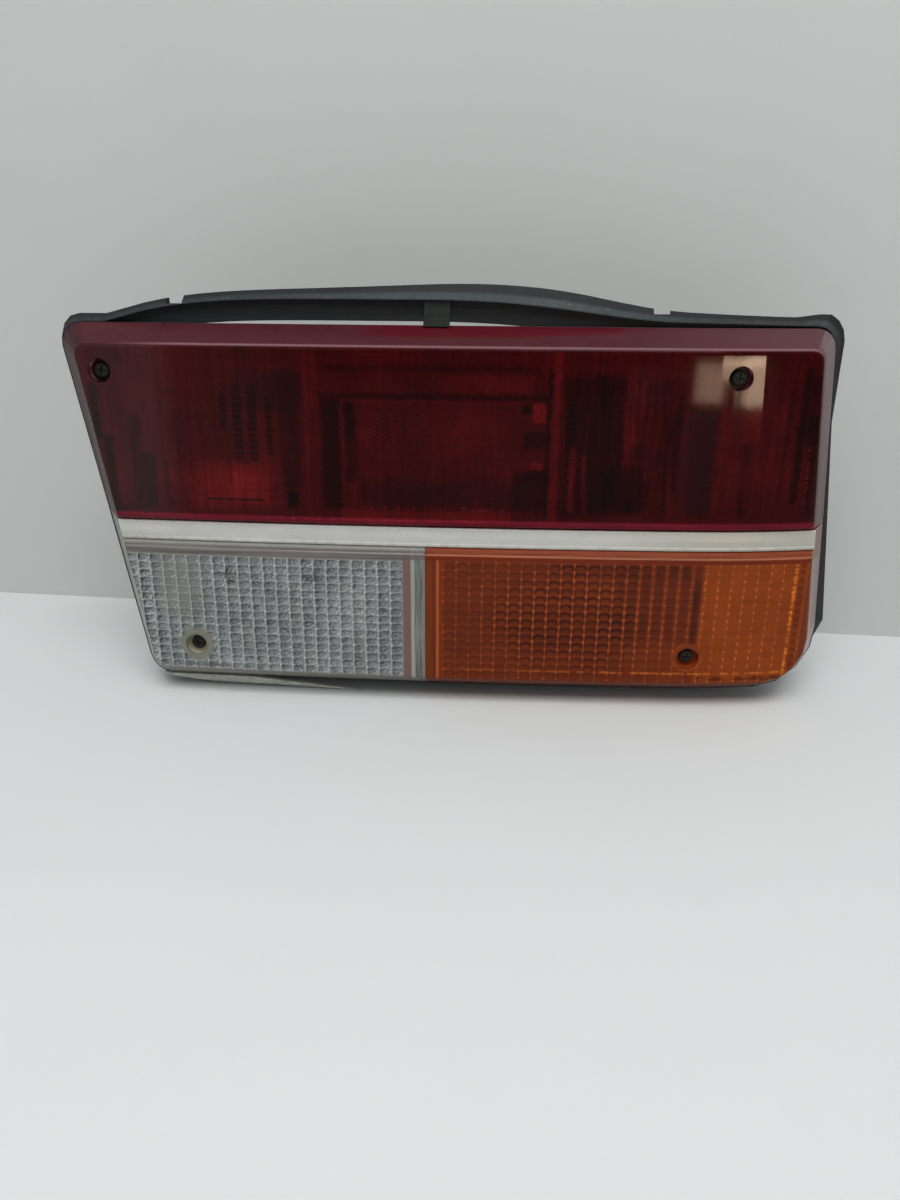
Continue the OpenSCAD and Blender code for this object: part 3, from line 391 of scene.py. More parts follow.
def red_plastic():
    m = Mat("red_plastic", roughness=0.07, specular=0.05)
    x, z = m.x, m.z
    depth = m.depth()
    face = depth.step(*RED_FACE_END)
    broad = m.noise(34, 2)
    fine = m.noise(2.2, 4, 0.65)
    # What lies behind is seen through small prisms, which break its edges up into dots
    dot = m.random(m.vec((x / DOT_X).floor(), 0.0, (z / DOT_Z).floor()))
    sway = m.noise(5.0, 2)
    m.seen_x = x + (sway - 0.5) * 2.6 + (dot - 0.5) * 0.9
    m.seen_z = z + (fine - 0.5) * 2.2 + (dot - 0.5) * 0.9
    streak = m.noise(3.4, 3, 0.6, at=m.vec(x, m.y * 0.3, z * 0.12))
    cross = m.noise(3.0, 3, 0.6, at=m.vec(x * 0.12, m.y * 0.3, z + 40.0))
    # t is the brightness of what is seen, from 0 to 1
    t = 0.43 + (broad - 0.5) * 0.24 + (fine - 0.5) * 0.08
    t = t + (streak - 0.5) * 0.24 + (cross - 0.5) * 0.12 + (dot - 0.5) * 0.05
    for patch in RED_PATCHES:
        t = m.patched(t, *patch)
    dash = z.zigzag(DASH_PITCH).step(0.10, 0.34)
    for at, width, z0, z1 in RED_DASHES:
        shape = x.band(at - width / 2, at + width / 2, 1.6) * m.seen_z.band(z0, z1, 4)
        t = t - shape * (0.06 + dash * 0.25)
    # Two level lines below the dashes
    t = t - m.box(-137, -106, 12.0, 13.2, 0.5) * 0.30
    t = t - m.box(-126, -97, 17.4, 18.4, 0.5) * (0.02 + dot * 0.12)
    # Rib between the inboard and middle chambers, and stripes in the outboard one
    t = t + x.band(-81.2, -79.8, 0.8) * z.band(3, 92, 1) * 0.05
    t = t - (x.band(-83.2, -82.2, 0.6) + x.band(-78.8, -78, 0.6)) * 0.05
    stripe = m.noise(2.6, 2, 0.5, at=m.vec(x, 8.0, z * 0.07))
    t = t + (stripe - 0.5) * (0.6 * m.box(51, 112, 8, 79, 3) + 0.25 * m.box(131, 184, 10, 80, 4))
    # Fine ribbing of the optics: level lines, and upright ones at the prism pitch
    level = z.zigzag(DOT_Z) * 2
    upright = (x + LINE_SHIFT).zigzag(PITCH_X) * 2
    t = t + (level - 0.5) * 0.06
    t = t - upright.step(0.80, 1.0) * (0.05 + m.box(-154, -96, 8, 34, 8) * 0.07)
    # Hatching of the reflex panel, and a comb of upright lines at its outboard end
    hatch = (x * HATCH_SLOPE + z).zigzag(HATCH_PITCH) * 2
    t = t + (hatch - 0.5) * 0.22 * m.box(-54, -20, 43, 64, 9)
    comb = (x.zigzag(COMB_PITCH) * 2 - 0.5) * m.box(8, 28, 22, 60, 10)
    t = t + comb * 0.10
    # Slats in the outboard chamber
    slats = (m.seen_z.zigzag(SLAT_PITCH) * 2).step(0.5, 0.9) * m.box(52, 84, 40, 79, 3)
    t = t - slats * 0.10
    # Lip above the strip, with its bright lines
    lip = z.step(4.8, 3.4)
    lines = z.band(0.5, 1.7, 0.7) * 0.12 + z.band(2.7, 3.4, 0.6) * 0.10
    lines = lines - z.band(1.9, 2.5, 0.5) * 0.08
    t = t + lip * 0.13 + lines * (0.6 + cross * 0.8)
    col = m.ramp(t.clamp(), RED_STOPS)
    # Brown film at the inboard end, and purple tinges
    film = x.step(-142, -180) * (0.75 + broad) + x.step(-60, -130) * 0.22
    film = film + m.box(84, 104, 66, 84, 10) * 0.12
    brown = m.mix(streak, (0.0125, 0.0100, 0.0100, 1), (0.0240, 0.0165, 0.0165, 1))
    col = m.mix(film, col, brown, "ADD")
    purple = m.box(113, 131, 10, 62, 5) * 0.25 + m.box(-198, -166, 76, 94, 8) * 0.5
    purple = purple + m.box(-120, -84, 62, 82, 8) * 0.15 + m.box(-50, 40, 12, 24, 6) * 0.12
    purple = purple + m.box(184, 192, 0, 80, 3) * 0.3
    col = m.mix(purple * 0.5, col, (62, 32, 38))
    col = m.mix(lip * 0.4, col, m.mix(cross, (100, 18, 34), (150, 44, 66)))
    # Bright specks of light along the lower edge of the chambers and up the outboard end
    speck_x = m.noise(1.3, 1, 0.5, at=m.vec(x, 0.0, 7.0)).step(0.54, 0.72)
    speck_z = m.noise(0.9, 1, 0.5, at=m.vec(3.0, 0.0, z)).step(0.50, 0.66)
    specks = speck_x * m.seen_z.band(9.3, 10.3, 0.8) * x.band(-66, 28, 8) * 0.28
    spot = (x + SPOT_SHIFT).zigzag(PITCH_X).step(0.12, 0.03)
    row = spot * z.band(2.4, 3.5, 0.8) * x.band(-118, -34, 16)
    specks = specks + row * 0.5 * broad.step(0.3, 0.6)
    column = speck_z * (x + z * 0.045 + (sway - 0.5) * 1.2).band(181.5, 183.1, 0.9)
    specks = specks + column * z.band(8, 47, 4) * 0.6 * (0.2 + dot * 0.5)
    col = m.mix(specks * 0.7, col, (196, 58, 52))
    # The walls behind the face are painted paler, a painted reflection of the bright room seen at a
    # grazing view, with a soft dusty bloom
    up = m.normal()[2].step(0.25, 0.8)
    bloom = m.noise(12, 4, 0.6)
    painted_light_wall_col = m.mix(bloom, (84, 26, 34), (104, 50, 58))
    # The top wall is painted a paler pinkish tone, a painted reflection of the light above, paler
    # outboard
    top_painted_light_col = m.mix(x.step(60, 190), m.mix(bloom, (66, 24, 31), (82, 42, 47)), (88, 56, 60))
    # Painted shadow of the gasket, in crimson, across the deep part of the top wall
    shade = (depth - x.step(10, 90) * 4.0).step(8.0, 10.0) * x.band(-50, 84, 24)
    top_painted_light_col = m.mix(shade * 0.75, top_painted_light_col, (84, 14, 24))
    painted_light_wall_col = m.mix(up, painted_light_wall_col, top_painted_light_col)
    # Walls facing inboard are painted darker and redder, a painted shade
    inboard_shade = m.normal()[0].step(-0.08, -0.35)
    painted_light_wall_col = m.mix(inboard_shade * 0.95, painted_light_wall_col, m.mix(bloom, (50, 20, 27), (66, 34, 41)))
    # Walls facing outboard get a painted reflection in lavender grey, painted shade towards the
    # face and a painted highlight on the rim
    side = m.normal()[0].step(0.2, 0.7)
    side_reflection_col = m.mix(z.step(20, 90), (112, 98, 99), (124, 112, 114))
    side_reflection_col = m.mix(depth.step(7, 1), side_reflection_col, (84, 50, 56))
    side_reflection_col = m.mix(depth.step(17, 20), side_reflection_col, (150, 148, 148))
    painted_light_wall_col = m.mix(side * 0.75, painted_light_wall_col, side_reflection_col)
    # Walls facing down are painted pale pink, a painted light from the floor below that lifts the
    # shade under the lip
    painted_light_below = m.normal()[2].step(-0.15, -0.5)
    painted_light_wall_col = m.mix(painted_light_below * 0.85, painted_light_wall_col, (206, 132, 138))
    # Painted shade in the recesses round the screws
    screw_recess_shade = m.ring(*SCREW_UPPER_IN).min(m.ring(*SCREW_UPPER_OUT)).step(8.0, 7.2)
    painted_light_wall_col = m.mix(screw_recess_shade * 0.9, painted_light_wall_col, (34, 16, 19))
    col = m.mix(face, painted_light_wall_col, col)
    # The worn front edge is painted paler: dust on the edge, and a painted highlight along it
    edge = depth.band(1.0, 2.4, 1.2) * up * x.step(-190, -140)
    col = m.mix(edge * 0.55, col, (156, 116, 124))
    # Dust and hairline scratches
    dust = m.noise(0.55, 2, 0.7).step(0.72, 0.80) * 0.5
    col = m.mix(dust * 0.2, col, (150, 110, 110))
    along = m.vec(x * 0.06 + z * 0.10, 0.0, z - x * 0.34)
    scratch = m.noise(0.8, 2, 0.5, at=along).step(0.70, 0.75)
    scratch = scratch * m.noise(20, 2).step(0.56, 0.66)
    col = m.mix(scratch * 0.16, col, (150, 100, 98))
    m.colour(col)
    m.rough(0.06 + dust * 0.3 + scratch * 0.15 + (1.0 - face) * (0.16 + bloom * 0.16))
    m.bump(broad * 0.6 + m.noise(60, 1) * 0.4, 0.25, 0.2)
    return m


def prism_grid(m, x_line, z_line, sway):
    """Coordinates inside each prism from -1 to 1, distances to its upright and level lines,
    and a number for each prism. The lines wander by about half of sway."""
    a, b = m.noise(5.0, 2), m.noise(4.0, 2, at=m.vec(m.z, 9.0, m.x))
    u = (m.x - x_line + (a - 0.5) * sway) / PITCH_X
    v = (m.z - z_line + (b - 0.5) * sway) / PITCH_Z
    cu, cv = u.fract(), v.fract()
    du = (0.5 - (cu - 0.5).abs()) * PITCH_X
    dv = (0.5 - (cv - 0.5).abs()) * PITCH_Z
    per = m.random(m.vec(u.floor(), 0.0, v.floor()))
    return (cu - 0.5) * 2.0, (cv - 0.5) * 2.0, du, dv, per


def prism_dome(du, dv):
    """Height of a prism, with sloping sides and a flat top."""
    return (du.min(1.4) + dv.min(1.2)) * 0.3


CLEAR_STOPS = [
    (0.0, (52, 58, 60)),
    (0.3, (88, 95, 97)),
    (0.52, (114, 119, 119)),
    (0.75, (138, 142, 142)),
    (1.0, (178, 182, 182)),
]


def clear_plastic():
    m = Mat("clear_plastic", roughness=0.1, specular=0.14)
    x, z = m.x, m.z
    depth = m.depth()
    face = depth.step(*LOW_FACE_END)
    pu, pv, du, dv, per = prism_grid(m, *CLEAR_GRID, 1.2)
    boss = m.ring(*SCREW_LOWER_IN)
    area = m.box(*CLEAR_AREA, 1.2) * boss.step(8.2, 10.4)
    # Each prism is a pillow with painted shade as a dark crescent at its upper inboard side and a
    # painted glint at the other
    bend = m.noise(1.6, 2, 0.6)
    r = m.math("SQRT", pu * pu + pv * pv) + (bend - 0.5) * 1.1
    side = (pv - pu) * 0.5
    rim = r.band(0.45, 0.95, 0.35)
    calm = m.box(-169, -146, -54, -18, 18)
    caustic = m.noise(2.1, 2, 0.55, warp=1.6)
    squiggle = (caustic - 0.52).abs().step(0.05, 0.0)
    ends = 1.0 + x.step(-168, -176) * 0.9 - calm * 0.4
    t = 0.44 + (per - 0.5) * 0.07 - rim * side * 0.52 * ends - rim * 0.04
    t = t + (caustic - 0.5) * 1.1 * ends + squiggle * 0.28 * (1.0 - calm)
    t = t + m.blob(-62, -48, 18, 26) * 0.12 + (m.noise(22, 2) - 0.5) * 0.4
    t = t - x.step(-60, -30) * 0.06 + z.step(-76, -86) * 0.08
    glint = (rim * (0.0 - side)).step(0.3, 0.7) * m.random(m.vec(per, 1.0, 2.0)).step(0.3, 0.6)
    glass = m.ramp(t.clamp(), CLEAR_STOPS)
    glass = m.mix(calm * 0.4, glass, (138, 138, 129))
    glass = m.mix(glint * 0.6, glass, (192, 196, 194))
    # Painted shade at the foot of each wall, then the pale wall itself
    foot_shade = du.band(0.75, 1.3, 0.4).max(dv.band(0.6, 1.0, 0.3)) * m.noise(3.0, 2).step(0.35, 0.6)
    glass = m.mix(foot_shade * 0.3, glass, (74, 80, 80))
    upright = du.step(0.72, 0.15) * (0.45 + m.noise(2.2, 2) * 0.7)
    level = dv.step(0.50, 0.10) * (m.noise(2.0, 2, at=m.vec(x, 5.0, z)) * 1.2 - 0.05)
    # Painted highlights where the upright and level lines cross
    knot_highlight = du.step(0.9, 0.2) * dv.step(0.8, 0.2) * per.step(0.2, 0.7)
    glass = m.mix(upright.max(level * 0.85) * (0.72 - calm * 0.2), glass, (172, 172, 165))
    glass = m.mix(knot_highlight * (0.75 - calm * 0.5), glass, (206, 208, 202))
    foot_line = z.band(-86.6, -85.0, 0.7) * x.band(-174, -116, 8)
    foot_line = foot_line * m.noise(4.0, 2, at=m.vec(x, 3.0, 0.0)).step(0.4, 0.55)
    glass = m.mix(foot_line * 0.6, glass, (78, 76, 66))
    # Two small dark curls of dirt
    curl = (m.noise(1.9, 1, warp=0.8) - 0.5).abs().step(0.085, 0.03)
    curl = curl * (m.blob(-128, -31.5, 5, 6) + m.blob(-82, -31, 5, 4)).step(0.1, 0.5)
    glass = m.mix(curl * 0.9, glass, (44, 46, 44))
    # Plain plastic round the prisms
    plain = m.mix(m.noise(9, 3), (112, 108, 103), (128, 124, 118))
    plain = m.mix(x.band(-31.4, -26.6, 1.4), plain, (112, 90, 84))
    # Double wall of the joint
    grain = m.noise(2, 3, 0.6, at=m.vec(x * 2.0, 0.0, z * 0.08))
    plain = m.mix(x.band(-26.8, -24.6, 0.9) * (0.15 + grain * 0.8), plain, (170, 170, 162))
    joint = x.band(-24.8, -20.4, 1.2) * 0.85
    plain = m.mix(joint, plain, m.mix(grain.step(0.3, 0.7), (64, 70, 66), (130, 133, 126)))
    # Lines of the groove above the prisms; the two pale lines are painted highlights on the ridge
    # at the groove's top, with a darker band between them
    high = z.step(-19.6, -18.2)
    lines = m.noise(1.2, 3, 0.6, at=m.vec(x * 0.02, 0.0, z))
    plain = m.mix(high * 0.9, plain, m.mix(lines.step(0.3, 0.7), (84, 78, 76), (118, 112, 108)))
    plain = m.mix(z.band(-14.6, -12.6, 0.7) * 0.6, plain, (72, 66, 66))
    plain = m.mix(z.band(-16.0, -15.2, 0.5) * 0.5, plain, (150, 146, 142))
    plain = m.mix(z.band(-12.2, -11.0, 0.5) * 0.9, plain, (196, 194, 188))
    pale = m.mix(area, plain, glass)
    # Round the screw
    round_screw = boss.step(10.6, 8.4) * 0.8
    pale = m.mix(round_screw, pale, m.mix(m.noise(4, 3), (100, 101, 88), (124, 126, 110)))
    ring = boss.band(7.0, 8.6, 1.6) * (0.4 + m.noise(5, 2) * 0.8)
    pale = m.mix(ring * 0.25, pale, (150, 151, 136))
    wall = m.mix(m.noise(8, 4, 0.6), (124, 124, 118), (150, 150, 144))
    # The recess wall round the screw is painted pale, a painted light that lifts the shade in the
    # recess
    wall = m.mix(boss.step(9.0, 8.0), wall, (164, 162, 142))
    col = m.mix(face, wall, pale)
    dust = m.noise(0.6, 2, 0.7).step(0.70, 0.80)
    col = m.mix(dust * 0.18, col, (104, 96, 84))
    grime = z.step(-86, -94) * m.noise(6, 4, 0.6)
    col = m.mix(grime * 0.5, col, (132, 129, 116))
    m.colour(col)
    m.rough(0.08 + dust * 0.25 + (1.0 - face) * 0.2)
    dome = prism_dome(du, dv)
    m.bump(dome * area + caustic * 0.35 * area, 0.9, 0.35)
    return m


AMBER_STOPS = [
    (0.0, (0.020, 0.0060, 0.0040, 1)),
    (0.25, (0.056, 0.0112, 0.0050, 1)),
    (0.5, (0.128, 0.0220, 0.0066, 1)),
    (0.75, (0.245, 0.0480, 0.0078, 1)),
    (1.0, (0.430, 0.1000, 0.0110, 1)),
]


def amber_plastic():
    m = Mat("amber_plastic", roughness=0.1, specular=0.08)
    x, z = m.x, m.z
    depth = m.depth()
    face = depth.step(*LOW_FACE_END)
    pu, pv, du, dv, per = prism_grid(m, *AMBER_GRID, 0.9)
    boss = m.ring(*SCREW_LOWER_OUT)
    area = m.box(*AMBER_AREA, 1.2) * boss.step(7.0, 8.8)
    fine = m.noise(1.4, 3, 0.6)
    # Each prism shows a dark arch, strongest round the bulb's place
    arc_v = pv * 0.8 + 0.55 + (fine - 0.5) * 0.5
    r = m.math("SQRT", pu * pu + arc_v * arc_v)
    arch = r.band(0.72, 1.18, 0.3)
    dark = (m.blob(66, -52, 66, 38) * 1.1).min(1.0)
    heart = (m.blob(62, -57, 52, 17) * 1.2).min(1.0)
    rows = m.box(50, 124, -26, -19, 3)
    bright = x.step(129, 134)
    t = 0.47 + (per - 0.5) * 0.07 + (m.noise(18, 2) - 0.5) * 0.14
    t = t + (fine - 0.5) * 0.10 + bright * 0.20
    ending = x.step(84, 102)
    t = t + 0.03 - (
        arch * (0.08 + dark * 0.17 + rows * 0.12) * (0.5 + per)
        * (1.0 - bright) * (1.0 - ending * 0.65)
    )
    t = t - (heart * 0.08 + rows * 0.05) * pu.abs().step(1.0, 0.6)
    t = t + (pv.step(-0.1, -0.9) * 0.06) * dark
    # Dark upright bars of the chamber's end
    bars = pu.abs().step(0.8, 0.4) * x.band(88, 131.5, 20) * z.step(-72, -56)
    t = t - bars * 0.15 + ending * 0.03 * (1.0 - bright) - m.box(127.6, 131.4, -66, -28, 1.0) * 0.16
    t = t - m.box(185.2, 188.6, -84, -18, 1.0) * 0.24 * (0.5 + dv.step(1.8, 0.4) * 0.5)
    t = t - m.box(134, 186, -87.2, -84.6, 0.8) * 0.26 * m.noise(6, 2).step(0.42, 0.58)
    glass = m.ramp(t.clamp(), AMBER_STOPS)
    # Pale uprights, bright dots where the lines cross, and glowing lines along two edges
    wave = m.noise(2.4, 2, at=m.vec(x, 4.0, z))
    patchy = m.noise(11, 3, 0.6).step(0.36, 0.62)
    upright = du.step(0.9, 0.25) * (0.10 + dark * 0.20 + patchy * 0.12) * (0.3 + wave * 1.1)
    dots = du.step(0.8, 0.2) * dv.step(1.2, 0.3) * (0.15 + per * 0.85)
    dots = dots * (0.14 + patchy * 0.45 + dark * 0.4 + bright * 0.6)
    glass = m.mix(upright.max(dv.step(0.5, 0.1) * 0.08), glass, (172, 74, 30))
    glass = m.mix(dots * 0.8, glass, (208, 104, 54))
    broken = m.noise(4.0, 2, at=m.vec(x, 0.0, 11.0)).step(0.40, 0.60)
    glow = (z + (wave - 0.5) * 1.2).band(-83.3, -82.1, 0.8) * broken * (0.2 + x.step(0, 120) * 0.6)
    glass = m.mix(glow * 0.7, glass, (214, 112, 38))
    edge_line = (x + (wave - 0.5) * 2.4).band(182.2, 184.0, 1.0)
    edge_line = edge_line * m.noise(1.3, 2, 0.6, at=m.vec(0.0, 2.0, z)).step(0.36, 0.62)
    glass = m.mix(edge_line * 0.9, glass, (222, 116, 30))
    # Plain plastic round the prisms, with the lines of the joint and the groove
    grain = m.noise(7, 3, 0.6, at=m.vec(x * 2.0, 0.0, z * 0.12))
    plain = m.mix(grain, (96, 42, 22), (122, 56, 28))
    plain = m.mix(x.band(-12.8, -11.4, 0.8) * 0.8, plain, (176, 86, 38))
    plain = m.mix(x.band(-15.0, -13.4, 0.7) * 0.5, plain, (86, 32, 16))
    high = z.step(-18.8, -17.6)
    lines = m.noise(1.0, 3, 0.6, at=m.vec(x * 0.03, 0.0, z))
    plain = m.mix(high * 0.9, plain, m.mix(lines.step(0.35, 0.65), (86, 34, 18), (134, 62, 30)))
    plain = m.mix(z.band(-18.6, -16.6, 0.7) * 0.7, plain, (104, 28, 13))
    # The pale line and the paler top band are painted highlights on the ridge at the groove's top
    plain = m.mix(z.band(-16.2, -15.2, 0.5) * (0.3 + lines * 0.6), plain, (176, 112, 84))
    plain = m.mix(z.step(-12.4, -11.6) * 0.7, plain, (168, 80, 34))
    pale = m.mix(area, plain, glass)
    # Round the screw
    halo = boss.band(7.2, 8.8, 1.2) * m.noise(5, 2).step(0.40, 0.62)
    pale = m.mix(boss.step(8.0, 6.4) * 0.6, pale, (118, 50, 24))
    pale = m.mix(halo * 0.4, pale, (176, 80, 28))
    wall = m.mix(m.noise(8, 4, 0.6), (118, 50, 26), (142, 70, 44))
    # Walls facing outboard are painted a lavender grey, a painted reflection of the pale room at a
    # grazing view
    side = m.normal()[0].step(0.25, 0.8)
    wall = m.mix(side * 0.85, wall, (148, 132, 127))
    # Walls facing down are painted a pinkish grey, a painted reflection of the floor below
    painted_light_below = m.normal()[2].step(-0.2, -0.7)
    wall = m.mix(painted_light_below * 0.6, wall, (130, 74, 64))
    # The recess wall round the screw is painted a brighter orange, a painted light that lifts the
    # shade in the recess
    wall = m.mix(boss.step(8.4, 7.6), wall, (146, 62, 26))
    col = m.mix(face, wall, pale)
    dust = m.noise(0.6, 2, 0.7).step(0.72, 0.82)
    col = m.mix(dust * 0.12, col, (170, 120, 90))
    m.colour(col)
    m.rough(0.08 + dust * 0.3 + ((1.0 - face) * 0.15).max(high * 0.5))
    m.bump(prism_dome(du, dv) * area, 0.7, 0.25)
    return m


def strip_silver():
    m = Mat("strip_silver", roughness=0.34, coat=0.3, coat_roughness=0.2)
    x, z = m.x, m.z
    cloud = m.noise(24, 4, 0.6, at=m.vec(x, m.y, z * 3.0))
    brushed = m.noise(0.7, 3, 0.7, at=m.vec(x * 0.02, m.y, z * 1.2))
    col = m.mix(cloud, (176, 176, 171), (202, 202, 197))
    col = m.mix((brushed - 0.5).abs() * 0.5, col, (146, 146, 140))
    col = m.mix(x.step(50, 150) * 0.8, col, (164, 162, 149))
    # A painted highlight along the lower edge
    col = m.mix(z.band(-10.6, -9.8, 0.5) * 0.6, col, (222, 222, 216))
    grime = z.step(-8.6, -11.8) * m.noise(5, 4, 0.65).step(0.35, 0.75)
    grime = grime + z.step(-6.4, -9.6) * x.step(-140, -186) * 0.6
    col = m.mix(grime * 0.5, col, (136, 134, 114))
    # The top edge is painted near white, a painted highlight that also lifts the shade under the
    # red lens's lip
    col = m.mix(z.step(-2.4, -0.6) * 0.8, col, (240, 240, 234))
    specks = m.noise(1.1, 2, 0.6, at=m.vec(x * 0.7, m.y, z * 1.3)).step(0.66, 0.72)
    specks = specks * m.noise(14, 2).step(0.50, 0.62)
    col = m.mix(specks * 0.75, col, (84, 78, 70))
    m.colour(col)
    m.rough(0.30 + cloud * 0.15 + specks * 0.3)
    m.bump(cloud * 0.7 + brushed * 0.3, 0.06, 0.4)
    return m


def rubber():
    m = Mat("gasket_rubber", roughness=0.62, specular=0.14)
    x, z = m.x, m.z
    ny, nz = m.normal()[1:]
    depth = m.depth()
    broad = m.noise(16, 4, 0.6)
    grain = m.noise(0.8, 3, 0.7)
    ridges = m.noise(1.6, 3, 0.6, at=m.vec(x * 0.03, 0.0, z))
    col = m.mix(broad, (24, 26, 28), (40, 42, 44))
    col = m.mix(ridges.step(0.45, 0.75) * 0.4, col, (58, 60, 60))
    # The flap's front is painted a lighter cold grey, a painted light from above, and the web
    # behind the rim is painted dark, a painted shade
    lit_flap = depth.step(21.4, 20.2) * ny.step(-0.4, -0.9)
    flap_lit_col = m.mix(m.noise(9, 4, 0.65, at=m.vec(x * 0.3, 0.0, z)), (48, 55, 58), (74, 81, 84))
    col = m.mix(lit_flap * z.step(88, 108) * 0.8, col, flap_lit_col)
    web_shade = depth.step(20.6, 21.8) * z.step(80, 90) * depth.step(34, 31)
    dust = m.noise(3.5, 4, 0.7).step(0.45, 0.8) * (0.3 + nz.step(0.0, 0.9) * 0.5)
    dust = dust * (1.0 - web_shade * 0.8)
    col = m.mix(dust * 0.35, col, (96, 95, 88))
    scuff = m.noise(2.6, 3, 0.6, at=m.vec(x * 0.25, m.y, z)).step(0.62, 0.74)
    col = m.mix(scuff * 0.3 * (1.0 - web_shade * 0.8), col, (112, 114, 110))
    col = m.mix(web_shade * 0.3, col, (16, 17, 18))
    m.colour(col)
    m.rough(0.52 + grain * 0.25)
    m.bump(grain * 0.4 + broad * 0.3 + ridges * 0.3, 0.35, 0.6)
    return m


def foam():
    m = Mat("seal_foam", roughness=0.9, specular=0.15)
    fibre = m.noise(0.9, 4, 0.75, at=m.vec(m.x * 0.14, m.y * 1.3, m.z * 1.3))
    pits = m.cells(0.7).step(0.1, 0.6)
    col = m.mix(fibre.step(0.3, 0.7), (176, 176, 168), (236, 236, 228))
    col = m.mix((1.0 - pits) * 0.2, col, (96, 96, 88))
    dirt = m.noise(9, 4, 0.65).step(0.5, 0.78)
    col = m.mix(dirt * 0.3, col, (140, 134, 120))
    m.colour(col)
    m.rough(0.85 + fibre * 0.12)
    m.bump(fibre * 0.6 + pits * 0.4, 0.6, 0.8)
    return m


def moulded(name, dark, light, roughness, dirt=(92, 86, 76), amount=0.3, specular=0.4):
    """Moulded plastic with a fine grain, clouds and dust on what faces up."""
    m = Mat(name, roughness=roughness, specular=specular)
    cloud = m.noise(22, 3)
    fine = m.noise(0.9, 3, 0.7)
    col = m.mix(cloud * 0.7 + fine * 0.3, dark, light)
    up = m.normal()[2].step(0.1, 0.9)
    dust = m.noise(5, 4, 0.7).step(0.42, 0.8) * (0.3 + up * 0.7)
    col = m.mix(dust * amount, col, dirt)
    marks = m.noise(3.2, 3, 0.5, at=m.vec(m.x * 0.2, m.y, m.z)).step(0.66, 0.76)
    col = m.mix(marks * 0.2, col, tuple(min(255, c + 40) for c in light))
    m.colour(col)
    m.rough(roughness - 0.06 + fine * 0.14 + dust * 0.12)
    m.bump(fine * 0.7 + cloud * 0.3, 0.12, 0.5)
    return m


def metal(name, dark, light, roughness, tarnish, amount=0.4, metallic=1.0, specular=0.5):
    """Metal, or black finish on metal, with clouds and spots of tarnish."""
    m = Mat(name, roughness=roughness, metallic=metallic, specular=specular)
    cloud = m.noise(5, 4, 0.6)
    fine = m.noise(0.35, 3, 0.6)
    col = m.mix(cloud, dark, light)
    spots = m.noise(2.2, 4, 0.7).step(0.55, 0.75)
    col = m.mix(spots * amount, col, tarnish)
    m.colour(col)
    m.rough(roughness - 0.05 + cloud * 0.15 + spots * 0.25)
    m.bump(fine * 0.6 + spots * 0.4, 0.06, 0.5)
    return m


dress(red_plastic(), "red_lens")
dress(clear_plastic(), "clear_lens")
dress(amber_plastic(), "amber_lens")
dress(strip_silver(), "trim_strip")
dress(rubber(), "body_gasket")
dress(foam(), "lens_seal")
dress(moulded("reflex_red", (120, 12, 16), (160, 22, 26), 0.25), "reflex_panel")
dress(
    moulded("clip_brown", (24, 28, 28), (48, 52, 49), 0.6,
            dirt=(72, 69, 56), amount=0.45, specular=0.15),
    "gasket_clip",
)
dress(moulded("housing_grey", (52, 54, 55), (70, 72, 73), 0.5), "housing")
dress(
    moulded("carrier_cream", (186, 180, 160), (208, 203, 186), 0.45, dirt=(150, 138, 112)),
    "bulb_carrier",
)
dress(
    metal("brass", (176, 138, 66), (206, 170, 96), 0.28, (96, 70, 40)),
    "earth_strip", "fog_contact", "reversing_contact",
    "stop_contact", "tail_contact", "indicator_contact",
)
dress(
    metal("zinc", (150, 146, 120), (186, 180, 150), 0.34, (104, 92, 70)),
    "stud_upper_inboard", "stud_upper_outboard",
    "stud_lower_inboard", "stud_lower_outboard",
)
dress(
    moulded("thumb_black", (24, 24, 25), (42, 42, 43), 0.4),
    "thumb_screw_inboard", "thumb_screw_outboard",
)
dress(
    metal("screw_black", (22, 22, 21), (44, 43, 39), 0.6, (62, 50, 38),
          amount=0.5, metallic=0.0, specular=0.2),
    "lens_screw_upper_inboard", "lens_screw_upper_outboard",
    "lens_screw_lower_inboard", "lens_screw_lower_outboard",
)


def bulb_look():
    """Glass in front and a brass cap behind, in one piece."""
    m = Mat("bulb_glass", roughness=0.1, coat=0.6)
    cap = m.y.step(-22.0, -21.4)
    smoke = m.noise(6, 3)
    glass = m.mix(smoke, (176, 178, 176), (206, 207, 204))
    brass = m.mix(m.noise(3, 4), (150, 122, 66), (190, 160, 96))
    m.colour(m.mix(cap, glass, brass))
    m.put(m.bsdf.inputs["Metallic"], cap)
    m.rough(0.08 + cap * 0.25)
    return m


dress(bulb_look(), "fog_bulb", "stop_tail_bulb", "reversing_bulb", "indicator_bulb")


# Stage in metres: a floor just under the lowest point and a pale wall behind the lamp.
# SIZE is how far both reach
SIZE = 3.0
FLOOR_Z = -0.1058
FLOOR_COLOUR = (217, 220, 220)
# The wall stands a little askew to the lamp
WALL_LEFT, WALL_RIGHT = 0.280, -0.121
WALL_COLOUR = (196, 198, 196)
# How far the stage's colours wander either way, in steps of 8-bit colour
STAGE_CLOUD = 3


